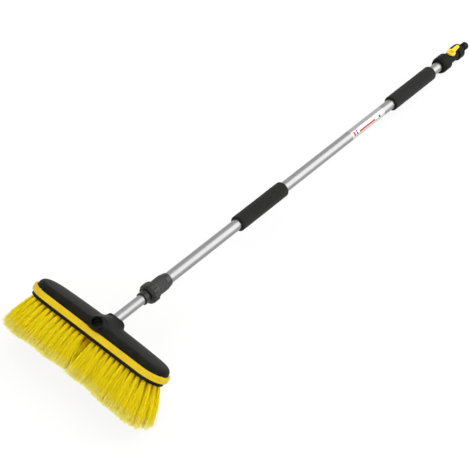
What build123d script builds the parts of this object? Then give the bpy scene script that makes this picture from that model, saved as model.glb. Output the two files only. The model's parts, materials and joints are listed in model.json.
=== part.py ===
from build123d import *
import math
import os

# Car wash brush with a telescopic water-fed pole, lying on a floor.
# X runs along the brush head, Y from the head to the hose end, Z is up.
# Stations along the pole are measured from the point where its axis
# crosses the mid-plane of the head's rubber strip.

os.makedirs("parts", exist_ok=True)

# Brush head
brush_length = 299.0
brush_depth = 82.0
strip_height = 13.0
strip_width = 6.5
strip_round = 5.4
cover_inset = 5.0
cover_height = 16.0
cover_end_drop = 4.5
cover_crown = 4.0
cover_edge_round = 9.0
cover_wall = 3.0
skirt_wall = 3.0
seal_thickness = 1.0
plate_inset = 4.0
plate_thickness = 5.5
pocket_inset = 4.0
pocket_depth = 2.0
head_fit = 0.1

# Sockets on the head
lean_deg = 52.5
socket_setback = 13.0
pole_side = -4.5
hood_half_width = 19.0
hood_half_height = 14.5
hood_corner = 9.0
spare_radius = 13.0
socket_reach = 34.0
spare_reach = 37.0
socket_root = 3.0
socket_edge_round = 2.5
edge_cut_share = 0.3
socket_seat = 24.5
spare_depth = 13.5
seal_seat_step = 1.2
throat_radius = 7.0
saddle_height = 24.0
saddle_top_half = 15.0
saddle_foot_half = 27.0
saddle_half_depth = 25.0
saddle_round = 5.0

# Tubes
outer_tube_radius = 11.0
outer_tube_wall = 1.2
inner_tube_radius = 9.5
inner_tube_wall = 1.0
tube_fit = 0.1
slide_gap = 0.3

# Stations along the pole
nose_start = 109.0
nose_length = 12.1
nut_start = 121.5
nut_length = 19.0
sleeve_end = 182.0
front_grip_start = 394.5
front_grip_end = 541.0
label_start = 776.0
label_end = 897.0
rear_grip_start = 937.5
rear_grip_end = 1097.0
cap_start = 1132.5
cap_length = 30.5
valve_centre = 1178.5
collar_start = 1201.4
collar_end = 1222.0
nipple_end = 1251.0

# Twist lock
nose_radius = 12.2
nose_lip_length = 3.2
nut_radius = 19.6
nut_cone_radius = 15.5
nut_cone_length = 4.5
nut_lobes = 10
nut_notch_radius = 3.0
nut_notch_depth = 1.5
nut_wall = 2.5
thrust_neck_wall = 1.3
thrust_length = 3.0
thrust_flange_radius = 13.2
collet_length = 14.0
collet_big_radius = 13.2
collet_small_radius = 11.8
collet_slots = 6
collet_rim_share = 0.25
collet_slot_width = 1.6
sleeve_radius = 15.4
sleeve_ribs = 28
sleeve_groove_depth = 0.7
sleeve_groove_width = 1.3
sleeve_taper_length = 13.0
sleeve_end_radius = 13.2
thread_radius = 14.9
thread_depth = 0.9
thread_turns = 2
thread_pitch = 4.5
thread_groove_share = 0.25
nut_release_gap = 0.6

# Foam grips and label
foam_radius = 16.0
foam_round = 3.5
foam_fit = 0.3
label_film = 0.2
label_sweep_deg = 210.0
label_glue = 0.05

# Hose end
cap_radius = 18.5
cap_round = 2.5
cap_tube_depth = 18.0
cap_lip_length = 5.0
cap_lip_radius = 17.0
spigot_radius = 9.0
spigot_bore_radius = 5.0
valve_radius = 13.0
valve_wall = 4.8
ball_radius = 7.6
ball_bore_radius = 4.0
ball_slot_width = 3.2
ball_slot_depth = 2.0
seat_thickness = 2.6
seat_bore_radius = 4.2
seat_gap = 0.3
gland_radius = 7.5
gland_height = 1.2
stem_radius = 3.0
stem_gap = 0.1
stem_ring_radius = 0.9
lever_hub_radius = 10.0
lever_hub_thickness = 4.0
lever_gap = 0.4
lever_length = 30.0
lever_rise = 4.0
lever_root_half = 5.0
lever_tip_half = 3.8
lever_thickness = 3.4
lever_recess_radius = 5.5
lever_recess_depth = 1.6
lever_bore_radius = 1.6
screw_head_radius = 3.4
screw_head_height = 1.3
screw_shank_radius = 1.5
lever_screw_length = 7.0
collar_radius = 16.5
collar_round = 3.0
collar_grooves = 16
collar_groove_radius = 1.1
nipple_root_radius = 7.6
nipple_root_length = 9.0
nipple_waist_length = 5.0
nipple_tip_radius = 8.6
nipple_waist_radius = 6.6
nipple_bore_radius = 4.5
nipple_ring_radius = 1.2

# Slider on the far end of the inner tube
closed_gap = 92.0
slider_flange_length = 12.0
slider_plug_length = 24.0
slider_plug_wall_gap = 0.3
slider_bore_radius = 5.5
slider_ring_radius = 1.0
slider_ring_step = 5.0

# Head fittings
adapter_flange_length = 1.8
adapter_plug_length = 18.0
adapter_spigot_length = 8.0
adapter_bore_radius = 4.6
washer_thickness = 1.2
seal_disc_thickness = 2.0

# Screws through the bristle plate
plate_screw_rows = 2
plate_screw_columns = 4
plate_screw_pitch_x = 68.0
plate_screw_pitch_y = 26.0
plate_screw_length = 9.0
post_radius = 4.0

# Water jets
jet_columns = 11
jet_pitch = 20.0
jet_radius = 1.5

# Bristles: three rings of tufts, four strands to a tuft
bristle_length = 72.5
row_pitch = 13.5
tuft_pitch = 11.3
tuft_rim = 3.6
strand_root_offset = 2.0
strand_root_half = 1.0
strand_tip_half_along = 2.3
strand_tip_half_across = 2.7
strand_sink = 1.2
tip_offset_share = 0.25
left_flare = 20.0
right_flare = 24.5
left_growth = 8.0
right_growth = 20.0
end_flare_power = 1.8
side_flare_share = 0.34
bend_height_share = 0.5
bend_flare_share = 0.62
front_wave = 2.0
front_wave_length = 61.0
floor_cut = 0.5
slice_gap = 0.15

cut = 1.0

# Places on the head, above or below the middle of the rubber strip
strip_top = strip_height / 2
strip_bottom = -strip_height / 2
plate_bottom = strip_bottom - plate_thickness
pocket_floor = plate_bottom + pocket_depth
skirt_bottom = strip_bottom + seal_thickness
cover_top = strip_top + cover_height
half_length = brush_length / 2
half_depth = brush_depth / 2
skirt_inset = strip_width + head_fit
pocket_length = brush_length - 2 * (plate_inset + pocket_inset)
pocket_width = brush_depth - 2 * (plate_inset + pocket_inset)
straight_half = (pocket_length - pocket_width) / 2
outer_ring_radius = pocket_width / 2 - tuft_rim - strand_root_offset
middle_ring_radius = outer_ring_radius - row_pitch
jet_line = middle_ring_radius - row_pitch / 2
lean = math.radians(lean_deg)
socket_bore_radius = inner_tube_radius + tube_fit
spare_floor = spare_reach - spare_depth
seal_seat_radius = socket_bore_radius - seal_seat_step
spare_step = spare_floor + seal_disc_thickness + slide_gap


def flared(x, y, share):
    # The tufts lean outwards: most at the ends, a little to front and back.
    reach = abs(x / half_length) ** end_flare_power
    lean_out = right_flare if x > 0 else -left_flare
    return (
        x + lean_out * reach * share,
        y * (1 + side_flare_share * share),
    )


def strand_length(x, y):
    # The front tufts have a wavy edge and are longer towards the ends.
    front = max(0.0, -y) / half_depth
    wave = math.sin(2 * math.pi * x / front_wave_length)
    growth = right_growth if x > 0 else left_growth
    return bristle_length + front * (front_wave * wave + growth * (x / half_length) ** 2)


def ring_places(radius):
    # Tuft centres and outward directions along a stadium line, evenly spaced.
    straight = 2 * straight_half
    turn = math.pi * radius
    count = round(2 * (straight + turn) / tuft_pitch)
    places = []
    for index in range(count):
        run = (index + 0.5) * 2 * (straight + turn) / count
        if run < straight:
            places.append((run - straight_half, -radius, 0.0, -1.0))
        elif run < straight + turn:
            angle = (run - straight) / radius
            out_x, out_y = math.sin(angle), -math.cos(angle)
            places.append((straight_half + radius * out_x, radius * out_y, out_x, out_y))
        elif run < 2 * straight + turn:
            places.append((straight_half - (run - straight - turn), radius, 0.0, 1.0))
        else:
            angle = (run - 2 * straight - turn) / radius
            out_x, out_y = -math.sin(angle), math.cos(angle)
            places.append((radius * out_x - straight_half, radius * out_y, out_x, out_y))
    return places


def line_places():
    count = round(2 * straight_half / tuft_pitch)
    step = 2 * straight_half / count
    return [(step * (index + 0.5) - straight_half, 0.0, 0.0, 1.0) for index in range(count)]


def strand_quads(place, along_sign, across_sign):
    # Root, bend and tip outlines of one strand, in head coordinates.
    x, y, out_x, out_y = place
    side_x, side_y = -out_y, out_x
    root = (strand_root_offset, strand_root_offset, strand_root_half, strand_root_half)
    tip = (
        tip_offset_share * tuft_pitch,
        tip_offset_share * row_pitch,
        strand_tip_half_along,
        strand_tip_half_across,
    )
    start = pocket_floor - pocket_depth + strand_sink
    length = strand_length(x, y)
    quads = []
    for height_share, flare_share in ((0.0, 0.0), (bend_height_share, bend_flare_share), (1.0, 1.0)):
        along, across, half_along, half_across = (
            low + (high - low) * flare_share for low, high in zip(root, tip)
        )
        z = start - (strand_sink + length) * height_share
        corners = []
        for corner_along, corner_across in ((-1, -1), (1, -1), (1, 1), (-1, 1)):
            a = along_sign * along + corner_along * half_along
            b = across_sign * across + corner_across * half_across
            px, py = flared(x + a * side_x + b * out_x, y + a * side_y + b * out_y, flare_share)
            corners.append((px, py, z))
        quads.append(corners)
    return quads


outer_places = ring_places(outer_ring_radius)
middle_places = ring_places(middle_ring_radius)
centre_places = line_places()
strand_signs = ((-1, -1), (1, -1), (1, 1), (-1, 1))


# Rest pose: the back tips of the bristles and the cap's edge touch the floor.
def along_and_above(y, z):
    # A head point as its station along the pole and its height above the axis.
    back = y - socket_setback
    return (
        back * math.sin(lean) + z * math.cos(lean),
        z * math.sin(lean) - back * math.cos(lean),
    )


tips = [
    along_and_above(y, z)
    for place in outer_places
    for signs in strand_signs
    for x, y, z in strand_quads(place, *signs)[2]
]
rear_tip = max(tips, key=lambda point: -point[1])
cap_end = cap_start + cap_length
rest_station = cap_end - cap_round
rest_depth = cap_radius - cap_round
gap_along = rest_station - rear_tip[0]
gap_above = -rest_depth - rear_tip[1]
slope = math.atan2(gap_above, gap_along) - math.asin(
    (cap_round + floor_cut) / math.hypot(gap_along, gap_above)
)
pole_height = cap_round + rest_station * math.sin(slope) + rest_depth * math.cos(slope)


def forward(point):
    return point[0] * math.cos(slope) + point[1] * math.sin(slope)


head_front = min(forward(point) for point in tips)
hose_end = forward((nipple_end, nipple_root_radius))
pole_middle = -(head_front + hose_end) / 2

pole_dir = Vector(0, math.cos(slope), -math.sin(slope))
pole_up = Vector(0, math.sin(slope), math.cos(slope))
pole_origin = Vector(pole_side, pole_middle, pole_height)
head_up = pole_dir * math.cos(lean) + pole_up * math.sin(lean)
head_back = pole_dir * math.sin(lean) - pole_up * math.cos(lean)
head_origin = Vector(0, pole_middle, pole_height) - head_back * socket_setback
spare_origin = head_origin - head_back * socket_setback
spare_dir = head_up * math.cos(lean) - head_back * math.sin(lean)

pole_section = Plane(origin=pole_origin, x_dir=(1, 0, 0), z_dir=pole_up)
pole_axis = Axis(pole_origin, pole_dir)
spare_section = Plane(origin=spare_origin, x_dir=(1, 0, 0), z_dir=Vector(1, 0, 0).cross(spare_dir))
spare_axis = Axis(spare_origin, spare_dir)
head_plane = Plane(origin=head_origin, x_dir=(1, 0, 0), z_dir=head_up)


def pole_at(station):
    # The plane across the pole at a station, with its second axis upwards.
    return Plane(origin=pole_origin + pole_dir * station, x_dir=(-1, 0, 0), z_dir=pole_dir)


def over_pole(station, height):
    # The plane square to the lever's spindle, with its second axis along the pole.
    place = pole_origin + pole_dir * station + pole_up * height
    return Plane(origin=place, x_dir=(1, 0, 0), z_dir=pole_up)


def turned(points, section=pole_section, axis=pole_axis, mode=Mode.ADD):
    # Turns an outline of radius and station pairs about the pole.
    with BuildSketch(section) as outline:
        with BuildLine():
            Polyline(*points, close=True)
        make_face()
    revolve(outline.sketch, axis=axis, mode=mode)


def stadium(inset, height, amount, mode=Mode.ADD):
    # A round-ended slab of the head, inset from its outline.
    with BuildSketch(head_plane.offset(height)) as outline:
        SlotOverall(brush_length - 2 * inset, brush_depth - 2 * inset)
    extrude(outline.sketch, amount=amount, mode=mode)


def barrel(top, mode):
    # A slab whose upper face falls a little to the ends and to the sides.
    radius = (half_length**2 + cover_end_drop**2) / (2 * cover_end_drop)
    reach = math.asin((half_length + cut) / radius)
    middle = head_origin + head_up * (top - radius)
    start_normal = Vector(1, 0, 0) * math.cos(reach) + head_up * math.sin(reach)
    start = Plane(origin=middle, x_dir=head_back, z_dir=start_normal)
    with BuildSketch(start) as outline:
        with BuildLine():
            ThreePointArc(
                (-half_depth, radius - cover_crown),
                (0, radius),
                (half_depth, radius - cover_crown),
            )
            Polyline(
                (half_depth, radius - cover_crown),
                (half_depth, radius - top - cover_top),
                (-half_depth, radius - top - cover_top),
                (-half_depth, radius - cover_crown),
            )
        make_face()
    revolve(outline.sketch, axis=Axis(middle, head_back), revolution_arc=2 * math.degrees(reach), mode=mode)


# The head's cover: a crowned shell with a skirt that holds the strip
with BuildPart() as cover_block:
    stadium(cover_inset, strip_top, cover_height + cut)
    barrel(cover_top, Mode.INTERSECT)
    fillet(cover_block.faces().sort_by(Axis(head_origin, head_up))[-1].edges(), cover_edge_round)

with BuildPart() as chamber_block:
    stadium(skirt_inset + skirt_wall, strip_bottom - cut, cover_top - strip_bottom + cut)
    barrel(cover_top - cover_wall, Mode.INTERSECT)

with BuildPart() as strip_room:
    stadium(-spare_reach, strip_bottom, strip_height + head_fit)
    stadium(skirt_inset, strip_bottom, strip_height + head_fit, Mode.SUBTRACT)

edge_cut = edge_cut_share * socket_edge_round
with BuildPart() as socket_block:
    with BuildSketch(pole_at(socket_root)):
        with Locations((pole_side, 0)):
            RectangleRounded(2 * hood_half_width, 2 * hood_half_height, hood_corner)
    extrude(amount=socket_reach - socket_root)
    fillet(socket_block.faces().sort_by(pole_axis)[-1].edges(), socket_edge_round)
    turned(
        (
            (0, socket_root),
            (spare_radius, socket_root),
            (spare_radius, spare_reach - socket_edge_round),
            (spare_radius - edge_cut, spare_reach - edge_cut),
            (spare_radius - socket_edge_round, spare_reach),
            (0, spare_reach),
        ),
        spare_section,
        spare_axis,
    )
    with BuildSketch(Plane(origin=head_origin, x_dir=(1, 0, 0), z_dir=-head_back)):
        with BuildLine():
            Polyline(
                (-saddle_top_half, strip_top + saddle_height - saddle_round),
                (-saddle_foot_half, strip_top),
                (saddle_foot_half, strip_top),
                (saddle_top_half, strip_top + saddle_height - saddle_round),
            )
            ThreePointArc(
                (saddle_top_half, strip_top + saddle_height - saddle_round),
                (0, strip_top + saddle_height),
                (-saddle_top_half, strip_top + saddle_height - saddle_round),
            )
        make_face()
    extrude(amount=saddle_half_depth, both=True)
    split(bisect_by=head_plane.offset(skirt_bottom + cover_wall), keep=Keep.TOP)
    add(strip_room.part, mode=Mode.SUBTRACT)

with BuildPart() as head_cover:
    add(cover_block.part)
    stadium(skirt_inset, skirt_bottom, strip_top - skirt_bottom)
    add(chamber_block.part, mode=Mode.SUBTRACT)
    add(socket_block.part)
    with BuildSketch(head_plane.offset(strip_bottom + head_fit)):
        with GridLocations(plate_screw_pitch_x, plate_screw_pitch_y, plate_screw_columns, plate_screw_rows):
            Circle(post_radius)
    extrude(amount=cover_top - cover_wall - strip_bottom - head_fit)
    turned(
        (
            (0, socket_root - 2 * hood_half_height),
            (throat_radius, socket_root - 2 * hood_half_height),
            (throat_radius, socket_seat),
            (socket_bore_radius, socket_seat),
            (socket_bore_radius, socket_reach + cut),
            (0, socket_reach + cut),
        ),
        mode=Mode.SUBTRACT,
    )
    turned(
        (
            (0, spare_floor),
            (seal_seat_radius, spare_floor),
            (seal_seat_radius, spare_step),
            (socket_bore_radius, spare_step),
            (socket_bore_radius, spare_reach + cut),
            (0, spare_reach + cut),
        ),
        spare_section,
        spare_axis,
        Mode.SUBTRACT,
    )
    with BuildSketch(head_plane.offset(strip_bottom)):
        with GridLocations(plate_screw_pitch_x, plate_screw_pitch_y, plate_screw_columns, plate_screw_rows):
            Circle(screw_shank_radius + head_fit)
    extrude(amount=plate_screw_length, mode=Mode.SUBTRACT)
head_cover.part.label = "head_cover"
export_step(head_cover.part, "parts/head_cover.step")

with BuildPart() as chamber_seal:
    stadium(skirt_inset, strip_bottom, seal_thickness)
    stadium(skirt_inset + skirt_wall, strip_bottom, seal_thickness, Mode.SUBTRACT)
chamber_seal.part.label = "chamber_seal"
export_step(chamber_seal.part, "parts/chamber_seal.step")

with BuildPart() as bumper_strip:
    stadium(0, strip_bottom, strip_height)
    fillet(bumper_strip.edges().filter_by(head_plane), strip_round)
    stadium(strip_width, strip_bottom, strip_height, Mode.SUBTRACT)
bumper_strip.part.label = "bumper_strip"
export_step(bumper_strip.part, "parts/bumper_strip.step")

with BuildPart() as bristle_plate:
    stadium(plate_inset, plate_bottom, plate_thickness)
    stadium(plate_inset + pocket_inset, plate_bottom, pocket_depth, Mode.SUBTRACT)
    with BuildSketch(head_plane.offset(plate_bottom)):
        with GridLocations(jet_pitch, 2 * jet_line, jet_columns, 2):
            Circle(jet_radius)
        with GridLocations(plate_screw_pitch_x, plate_screw_pitch_y, plate_screw_columns, plate_screw_rows):
            Circle(screw_shank_radius + head_fit)
    extrude(amount=plate_thickness, mode=Mode.SUBTRACT)
    with BuildSketch(head_plane.offset(pocket_floor)):
        with GridLocations(plate_screw_pitch_x, plate_screw_pitch_y, plate_screw_columns, plate_screw_rows):
            Circle(screw_head_radius + head_fit)
    extrude(amount=screw_head_height, mode=Mode.SUBTRACT)
bristle_plate.part.label = "bristle_plate"
export_step(bristle_plate.part, "parts/bristle_plate.step")

with BuildPart() as plate_screws:
    with BuildSketch(head_plane.offset(pocket_floor)):
        with GridLocations(plate_screw_pitch_x, plate_screw_pitch_y, plate_screw_columns, plate_screw_rows):
            Circle(screw_head_radius)
    extrude(amount=screw_head_height)
    with BuildSketch(head_plane.offset(pocket_floor)):
        with GridLocations(plate_screw_pitch_x, plate_screw_pitch_y, plate_screw_columns, plate_screw_rows):
            Circle(screw_shank_radius)
    extrude(amount=plate_screw_length)
plate_screws.part.label = "plate_screws"
export_step(plate_screws.part, "parts/plate_screws.step")


def tuft_ring(name, places, inner_half, outer_half, on_floor):
    # A slice of the backing with its tufts, four tapered strands to a tuft.
    strands = []
    for place in places:
        for signs in strand_signs:
            quads = [[head_plane.from_local_coords(c) for c in quad] for quad in strand_quads(place, *signs)]
            faces = [Face(Wire.make_polygon(quad)) for quad in quads]
            strands.append(loft(faces, ruled=True, mode=Mode.PRIVATE))
    with BuildPart() as ring:
        with BuildSketch(head_plane.offset(plate_bottom)):
            SlotOverall(2 * (straight_half + outer_half), 2 * outer_half)
            if inner_half:
                SlotOverall(2 * (straight_half + inner_half), 2 * inner_half, mode=Mode.SUBTRACT)
            with GridLocations(jet_pitch, 2 * jet_line, jet_columns, 2):
                Circle(jet_radius, mode=Mode.SUBTRACT)
        extrude(amount=pocket_depth)
        add(strands)
        if on_floor:
            split(bisect_by=Plane.XY, keep=Keep.TOP)
    ring.part.label = name
    export_step(ring.part, "parts/" + name + ".step")
    return ring.part


middle_edge = middle_ring_radius + row_pitch / 2
tuft_ring("bristle_ring_outer", outer_places, middle_edge + slice_gap, pocket_width / 2 - slice_gap, True)
tuft_ring("bristle_ring_middle", middle_places, jet_line + slice_gap, middle_edge - slice_gap, False)
tuft_ring("bristle_row_centre", centre_places, 0, jet_line - slice_gap, False)

# Fittings in the two sockets
washer_end = socket_seat + washer_thickness
flange_end = washer_end + adapter_flange_length
with BuildPart() as socket_washer:
    turned(
        (
            (throat_radius, socket_seat),
            (inner_tube_radius, socket_seat),
            (inner_tube_radius, washer_end),
            (throat_radius, washer_end),
        )
    )
socket_washer.part.label = "socket_washer"
export_step(socket_washer.part, "parts/socket_washer.step")

with BuildPart() as tube_adapter:
    turned(
        (
            (adapter_bore_radius, washer_end - adapter_spigot_length),
            (throat_radius - tube_fit, washer_end - adapter_spigot_length),
            (throat_radius - tube_fit, washer_end),
            (inner_tube_radius, washer_end),
            (inner_tube_radius, flange_end),
            (inner_tube_radius - inner_tube_wall - tube_fit, flange_end),
            (inner_tube_radius - inner_tube_wall - tube_fit, flange_end + adapter_plug_length),
            (adapter_bore_radius, flange_end + adapter_plug_length),
        )
    )
tube_adapter.part.label = "tube_adapter"
export_step(tube_adapter.part, "parts/tube_adapter.step")

with BuildPart() as spare_socket_seal:
    turned(
        (
            (0, spare_floor),
            (seal_seat_radius - tube_fit, spare_floor),
            (seal_seat_radius - tube_fit, spare_floor + seal_disc_thickness),
            (0, spare_floor + seal_disc_thickness),
        ),
        spare_section,
        spare_axis,
    )
spare_socket_seal.part.label = "spare_socket_seal"
export_step(spare_socket_seal.part, "parts/spare_socket_seal.step")

# Telescopic tubes
outer_tube_bore = outer_tube_radius - outer_tube_wall
tube_stop = cap_start + cap_tube_depth
inner_tube_end = tube_stop - closed_gap
inner_tube_bore = inner_tube_radius - inner_tube_wall
collet_start = nut_start + nut_wall + thrust_length + 2 * slide_gap
collet_end = collet_start + collet_length
outer_tube_start = collet_end + slide_gap + nut_wall
with BuildPart() as inner_tube:
    turned(
        (
            (inner_tube_bore, flange_end),
            (inner_tube_radius, flange_end),
            (inner_tube_radius, inner_tube_end),
            (inner_tube_bore, inner_tube_end),
        )
    )
inner_tube.part.label = "inner_tube"
export_step(inner_tube.part, "parts/inner_tube.step")

with BuildPart() as outer_tube:
    turned(
        (
            (outer_tube_bore, outer_tube_start),
            (outer_tube_radius, outer_tube_start),
            (outer_tube_radius, tube_stop),
            (outer_tube_bore, tube_stop),
        )
    )
outer_tube.part.label = "outer_tube"
export_step(outer_tube.part, "parts/outer_tube.step")

slider_start = inner_tube_end + slide_gap
slider_end = slider_start + slider_flange_length
slider_radius = outer_tube_bore - slide_gap
slider_ring_places = [
    (slider_start + slider_end) / 2 - slider_ring_step / 2,
    (slider_start + slider_end) / 2 + slider_ring_step / 2,
]
slider_ring_middle = slider_radius - slider_ring_radius
with BuildPart() as slider_bush:
    turned(
        (
            (slider_bore_radius, inner_tube_end - slider_plug_length),
            (inner_tube_bore - slider_plug_wall_gap, inner_tube_end - slider_plug_length),
            (inner_tube_bore - slider_plug_wall_gap, slider_start),
            (slider_radius, slider_start),
            (slider_radius, slider_end),
            (slider_bore_radius, slider_end),
        )
    )
    for place in slider_ring_places:
        turned(
            (
                (slider_ring_middle - slider_ring_radius, place - slider_ring_radius - tube_fit),
                (slider_radius + cut, place - slider_ring_radius - tube_fit),
                (slider_radius + cut, place + slider_ring_radius + tube_fit),
                (slider_ring_middle - slider_ring_radius, place + slider_ring_radius + tube_fit),
            ),
            mode=Mode.SUBTRACT,
        )
slider_bush.part.label = "slider_bush"
export_step(slider_bush.part, "parts/slider_bush.step")

with BuildPart() as slider_rings:
    for place in slider_ring_places:
        with BuildSketch(pole_section):
            with Locations((slider_ring_middle, place)):
                Circle(slider_ring_radius)
        revolve(axis=pole_axis)
slider_rings.part.label = "slider_rings"
export_step(slider_rings.part, "parts/slider_rings.step")

# Twist lock
sliding_radius = inner_tube_radius + slide_gap
neck_radius = sliding_radius + thrust_neck_wall
nose_end = nose_start + nose_length
flange_start = nut_start + nut_wall + slide_gap
nose_lip_end = nose_start + nose_lip_length
with BuildPart() as nose_ring:
    turned(
        (
            (sliding_radius, nose_start),
            (nose_radius, nose_start),
            (nose_radius, nose_end),
            (neck_radius + tube_fit, nose_end),
            (neck_radius + tube_fit, nose_lip_end),
            (sliding_radius, nose_lip_end),
        )
    )
    fillet(nose_ring.edges().group_by(pole_axis)[0].sort_by(SortBy.RADIUS)[-1], thrust_neck_wall / 2)
nose_ring.part.label = "nose_ring"
export_step(nose_ring.part, "parts/nose_ring.step")

with BuildPart() as thrust_ring:
    turned(
        (
            (sliding_radius, nose_lip_end),
            (neck_radius, nose_lip_end),
            (neck_radius, flange_start),
            (thrust_flange_radius, flange_start),
            (thrust_flange_radius, flange_start + thrust_length),
            (sliding_radius, flange_start + thrust_length),
        )
    )
thrust_ring.part.label = "thrust_ring"
export_step(thrust_ring.part, "parts/thrust_ring.step")

nut_end = nut_start + nut_length
nut_bore_radius = thread_radius + slide_gap
with BuildPart() as clamp_nut:
    turned(
        (
            (neck_radius + slide_gap, nut_start),
            (nut_cone_radius, nut_start),
            (nut_radius, nut_start + nut_cone_length),
            (nut_radius, nut_end),
            (nut_bore_radius, nut_end),
            (nut_bore_radius, nut_start + nut_wall),
            (neck_radius + slide_gap, nut_start + nut_wall),
        )
    )
    fillet(clamp_nut.edges().group_by(pole_axis)[-1].sort_by(SortBy.RADIUS)[-1], nut_wall / 2)
    with BuildSketch(pole_at(nut_start - cut)):
        with PolarLocations(nut_radius + nut_notch_radius - nut_notch_depth, nut_lobes):
            Circle(nut_notch_radius)
    extrude(amount=nut_length + 2 * cut, mode=Mode.SUBTRACT)
clamp_nut.part.label = "clamp_nut"
export_step(clamp_nut.part, "parts/clamp_nut.step")

with BuildPart() as collet:
    turned(
        (
            (sliding_radius, collet_start),
            (collet_big_radius, collet_start),
            (collet_small_radius, collet_end),
            (sliding_radius, collet_end),
        )
    )
    with BuildSketch(pole_at(collet_start + collet_rim_share * collet_length)):
        with PolarLocations(collet_big_radius, collet_slots):
            Rectangle(2 * (collet_big_radius - sliding_radius) + cut, collet_slot_width)
    extrude(amount=collet_length, mode=Mode.SUBTRACT)
collet.part.label = "collet"
export_step(collet.part, "parts/collet.step")

thread_start = flange_start + thrust_length + nut_wall
shoulder = nut_end + nut_release_gap
collet_slope = (collet_big_radius - collet_small_radius) / collet_length
taper_mouth = collet_big_radius + tube_fit - collet_slope * (thread_start - collet_start)
taper_floor = collet_small_radius + tube_fit
with BuildPart() as clamp_sleeve:
    turned(
        (
            (taper_mouth, thread_start),
            (thread_radius, thread_start),
            (thread_radius, shoulder),
            (sleeve_radius, shoulder),
            (sleeve_radius, sleeve_end - sleeve_taper_length),
            (sleeve_end_radius, sleeve_end),
            (outer_tube_radius, sleeve_end),
            (outer_tube_radius, outer_tube_start),
            (outer_tube_bore + tube_fit, outer_tube_start),
            (outer_tube_bore + tube_fit, collet_end),
            (taper_floor, collet_end),
        )
    )
    for turn in range(thread_turns):
        groove = thread_start + thread_pitch * (turn + 0.5)
        flank = thread_groove_share * thread_pitch
        turned(
            (
                (thread_radius - thread_depth, groove),
                (thread_radius + cut, groove - flank),
                (thread_radius + cut, groove + flank),
            ),
            mode=Mode.SUBTRACT,
        )
    with BuildSketch(pole_at(shoulder + nut_wall)):
        with PolarLocations(sleeve_radius, sleeve_ribs):
            Rectangle(2 * sleeve_groove_depth, sleeve_groove_width)
    extrude(amount=sleeve_end - shoulder - nut_wall - sleeve_taper_length, mode=Mode.SUBTRACT)
clamp_sleeve.part.label = "clamp_sleeve"
export_step(clamp_sleeve.part, "parts/clamp_sleeve.step")


# Foam grips and the bare label film
def foam_grip(name, start, end):
    with BuildPart() as grip:
        turned(
            (
                (outer_tube_radius + foam_fit, start),
                (foam_radius, start),
                (foam_radius, end),
                (outer_tube_radius + foam_fit, end),
            )
        )
        ends = grip.edges().group_by(pole_axis)
        fillet((ends[0].sort_by(SortBy.RADIUS)[-1], ends[-1].sort_by(SortBy.RADIUS)[-1]), foam_round)
    grip.part.label = name
    export_step(grip.part, "parts/" + name + ".step")


foam_grip("front_grip", front_grip_start, front_grip_end)
foam_grip("rear_grip", rear_grip_start, rear_grip_end)

bare_half = math.radians(360 - label_sweep_deg) / 2
label_reach = 2 * outer_tube_radius
with BuildPart() as label_sleeve:
    with BuildSketch(pole_at(label_start)):
        Circle(outer_tube_radius + label_glue + label_film)
        Circle(outer_tube_radius + label_glue, mode=Mode.SUBTRACT)
        with BuildLine():
            Polyline(
                (0, 0),
                (label_reach * math.sin(bare_half), -label_reach * math.cos(bare_half)),
                (0, -2 * label_reach),
                (-label_reach * math.sin(bare_half), -label_reach * math.cos(bare_half)),
                close=True,
            )
        make_face(mode=Mode.SUBTRACT)
    extrude(amount=label_end - label_start)
label_sleeve.part.label = "label_film"
export_step(label_sleeve.part, "parts/label_film.step")

# Hose end: cap, ball valve with its lever, union collar and hose nipple
spigot_start = tube_stop + nut_wall
with BuildPart() as end_cap:
    turned(
        (
            (outer_tube_radius + tube_fit, cap_start),
            (cap_lip_radius, cap_start),
            (cap_lip_radius, cap_start + cap_lip_length),
            (cap_radius, cap_start + cap_lip_length),
            (cap_radius, cap_end),
            (spigot_radius + tube_fit, cap_end),
            (spigot_radius + tube_fit, spigot_start),
            (spigot_bore_radius + nut_wall, spigot_start),
            (spigot_bore_radius + nut_wall, tube_stop),
            (outer_tube_radius + tube_fit, tube_stop),
        )
    )
    fillet(end_cap.edges().group_by(pole_axis)[-1].sort_by(SortBy.RADIUS)[-1], cap_round)
end_cap.part.label = "end_cap"
export_step(end_cap.part, "parts/end_cap.step")

valve_start = cap_end + slide_gap
seat_reach = ball_radius + seat_gap + seat_thickness / 2
seat_outer = valve_radius - valve_wall
thread_end = collar_start + cap_lip_length + collar_round * 2
thread_tail_radius = valve_radius - nut_notch_depth
gland_top = valve_radius + gland_height
stem_bore = stem_radius + slide_gap
ring_seat_radius = stem_bore + 2 * stem_ring_radius
with BuildPart() as valve_body:
    turned(
        (
            (spigot_bore_radius, spigot_start),
            (spigot_radius, spigot_start),
            (spigot_radius, valve_start),
            (valve_radius, valve_start),
            (valve_radius, collar_start - slide_gap),
            (thread_tail_radius, collar_start - slide_gap),
            (thread_tail_radius, thread_end),
            (seat_outer, thread_end),
            (seat_outer, valve_centre - seat_reach),
            (spigot_bore_radius, valve_centre - seat_reach),
        )
    )
    with BuildSketch(over_pole(valve_centre, seat_outer)):
        Circle(gland_radius)
    extrude(amount=gland_top - seat_outer)
    turned(
        (
            (0, valve_centre - seat_reach),
            (seat_outer, valve_centre - seat_reach),
            (seat_outer, thread_end),
            (0, thread_end),
        ),
        mode=Mode.SUBTRACT,
    )
    with BuildSketch(over_pole(valve_centre, 0)):
        Circle(stem_bore)
    extrude(amount=gland_top + cut, mode=Mode.SUBTRACT)
    with BuildSketch(over_pole(valve_centre, gland_top - 2 * stem_ring_radius - tube_fit)):
        Circle(ring_seat_radius + tube_fit)
    extrude(amount=gland_top, mode=Mode.SUBTRACT)
valve_body.part.label = "valve_body"
export_step(valve_body.part, "parts/valve_body.step")

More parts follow.
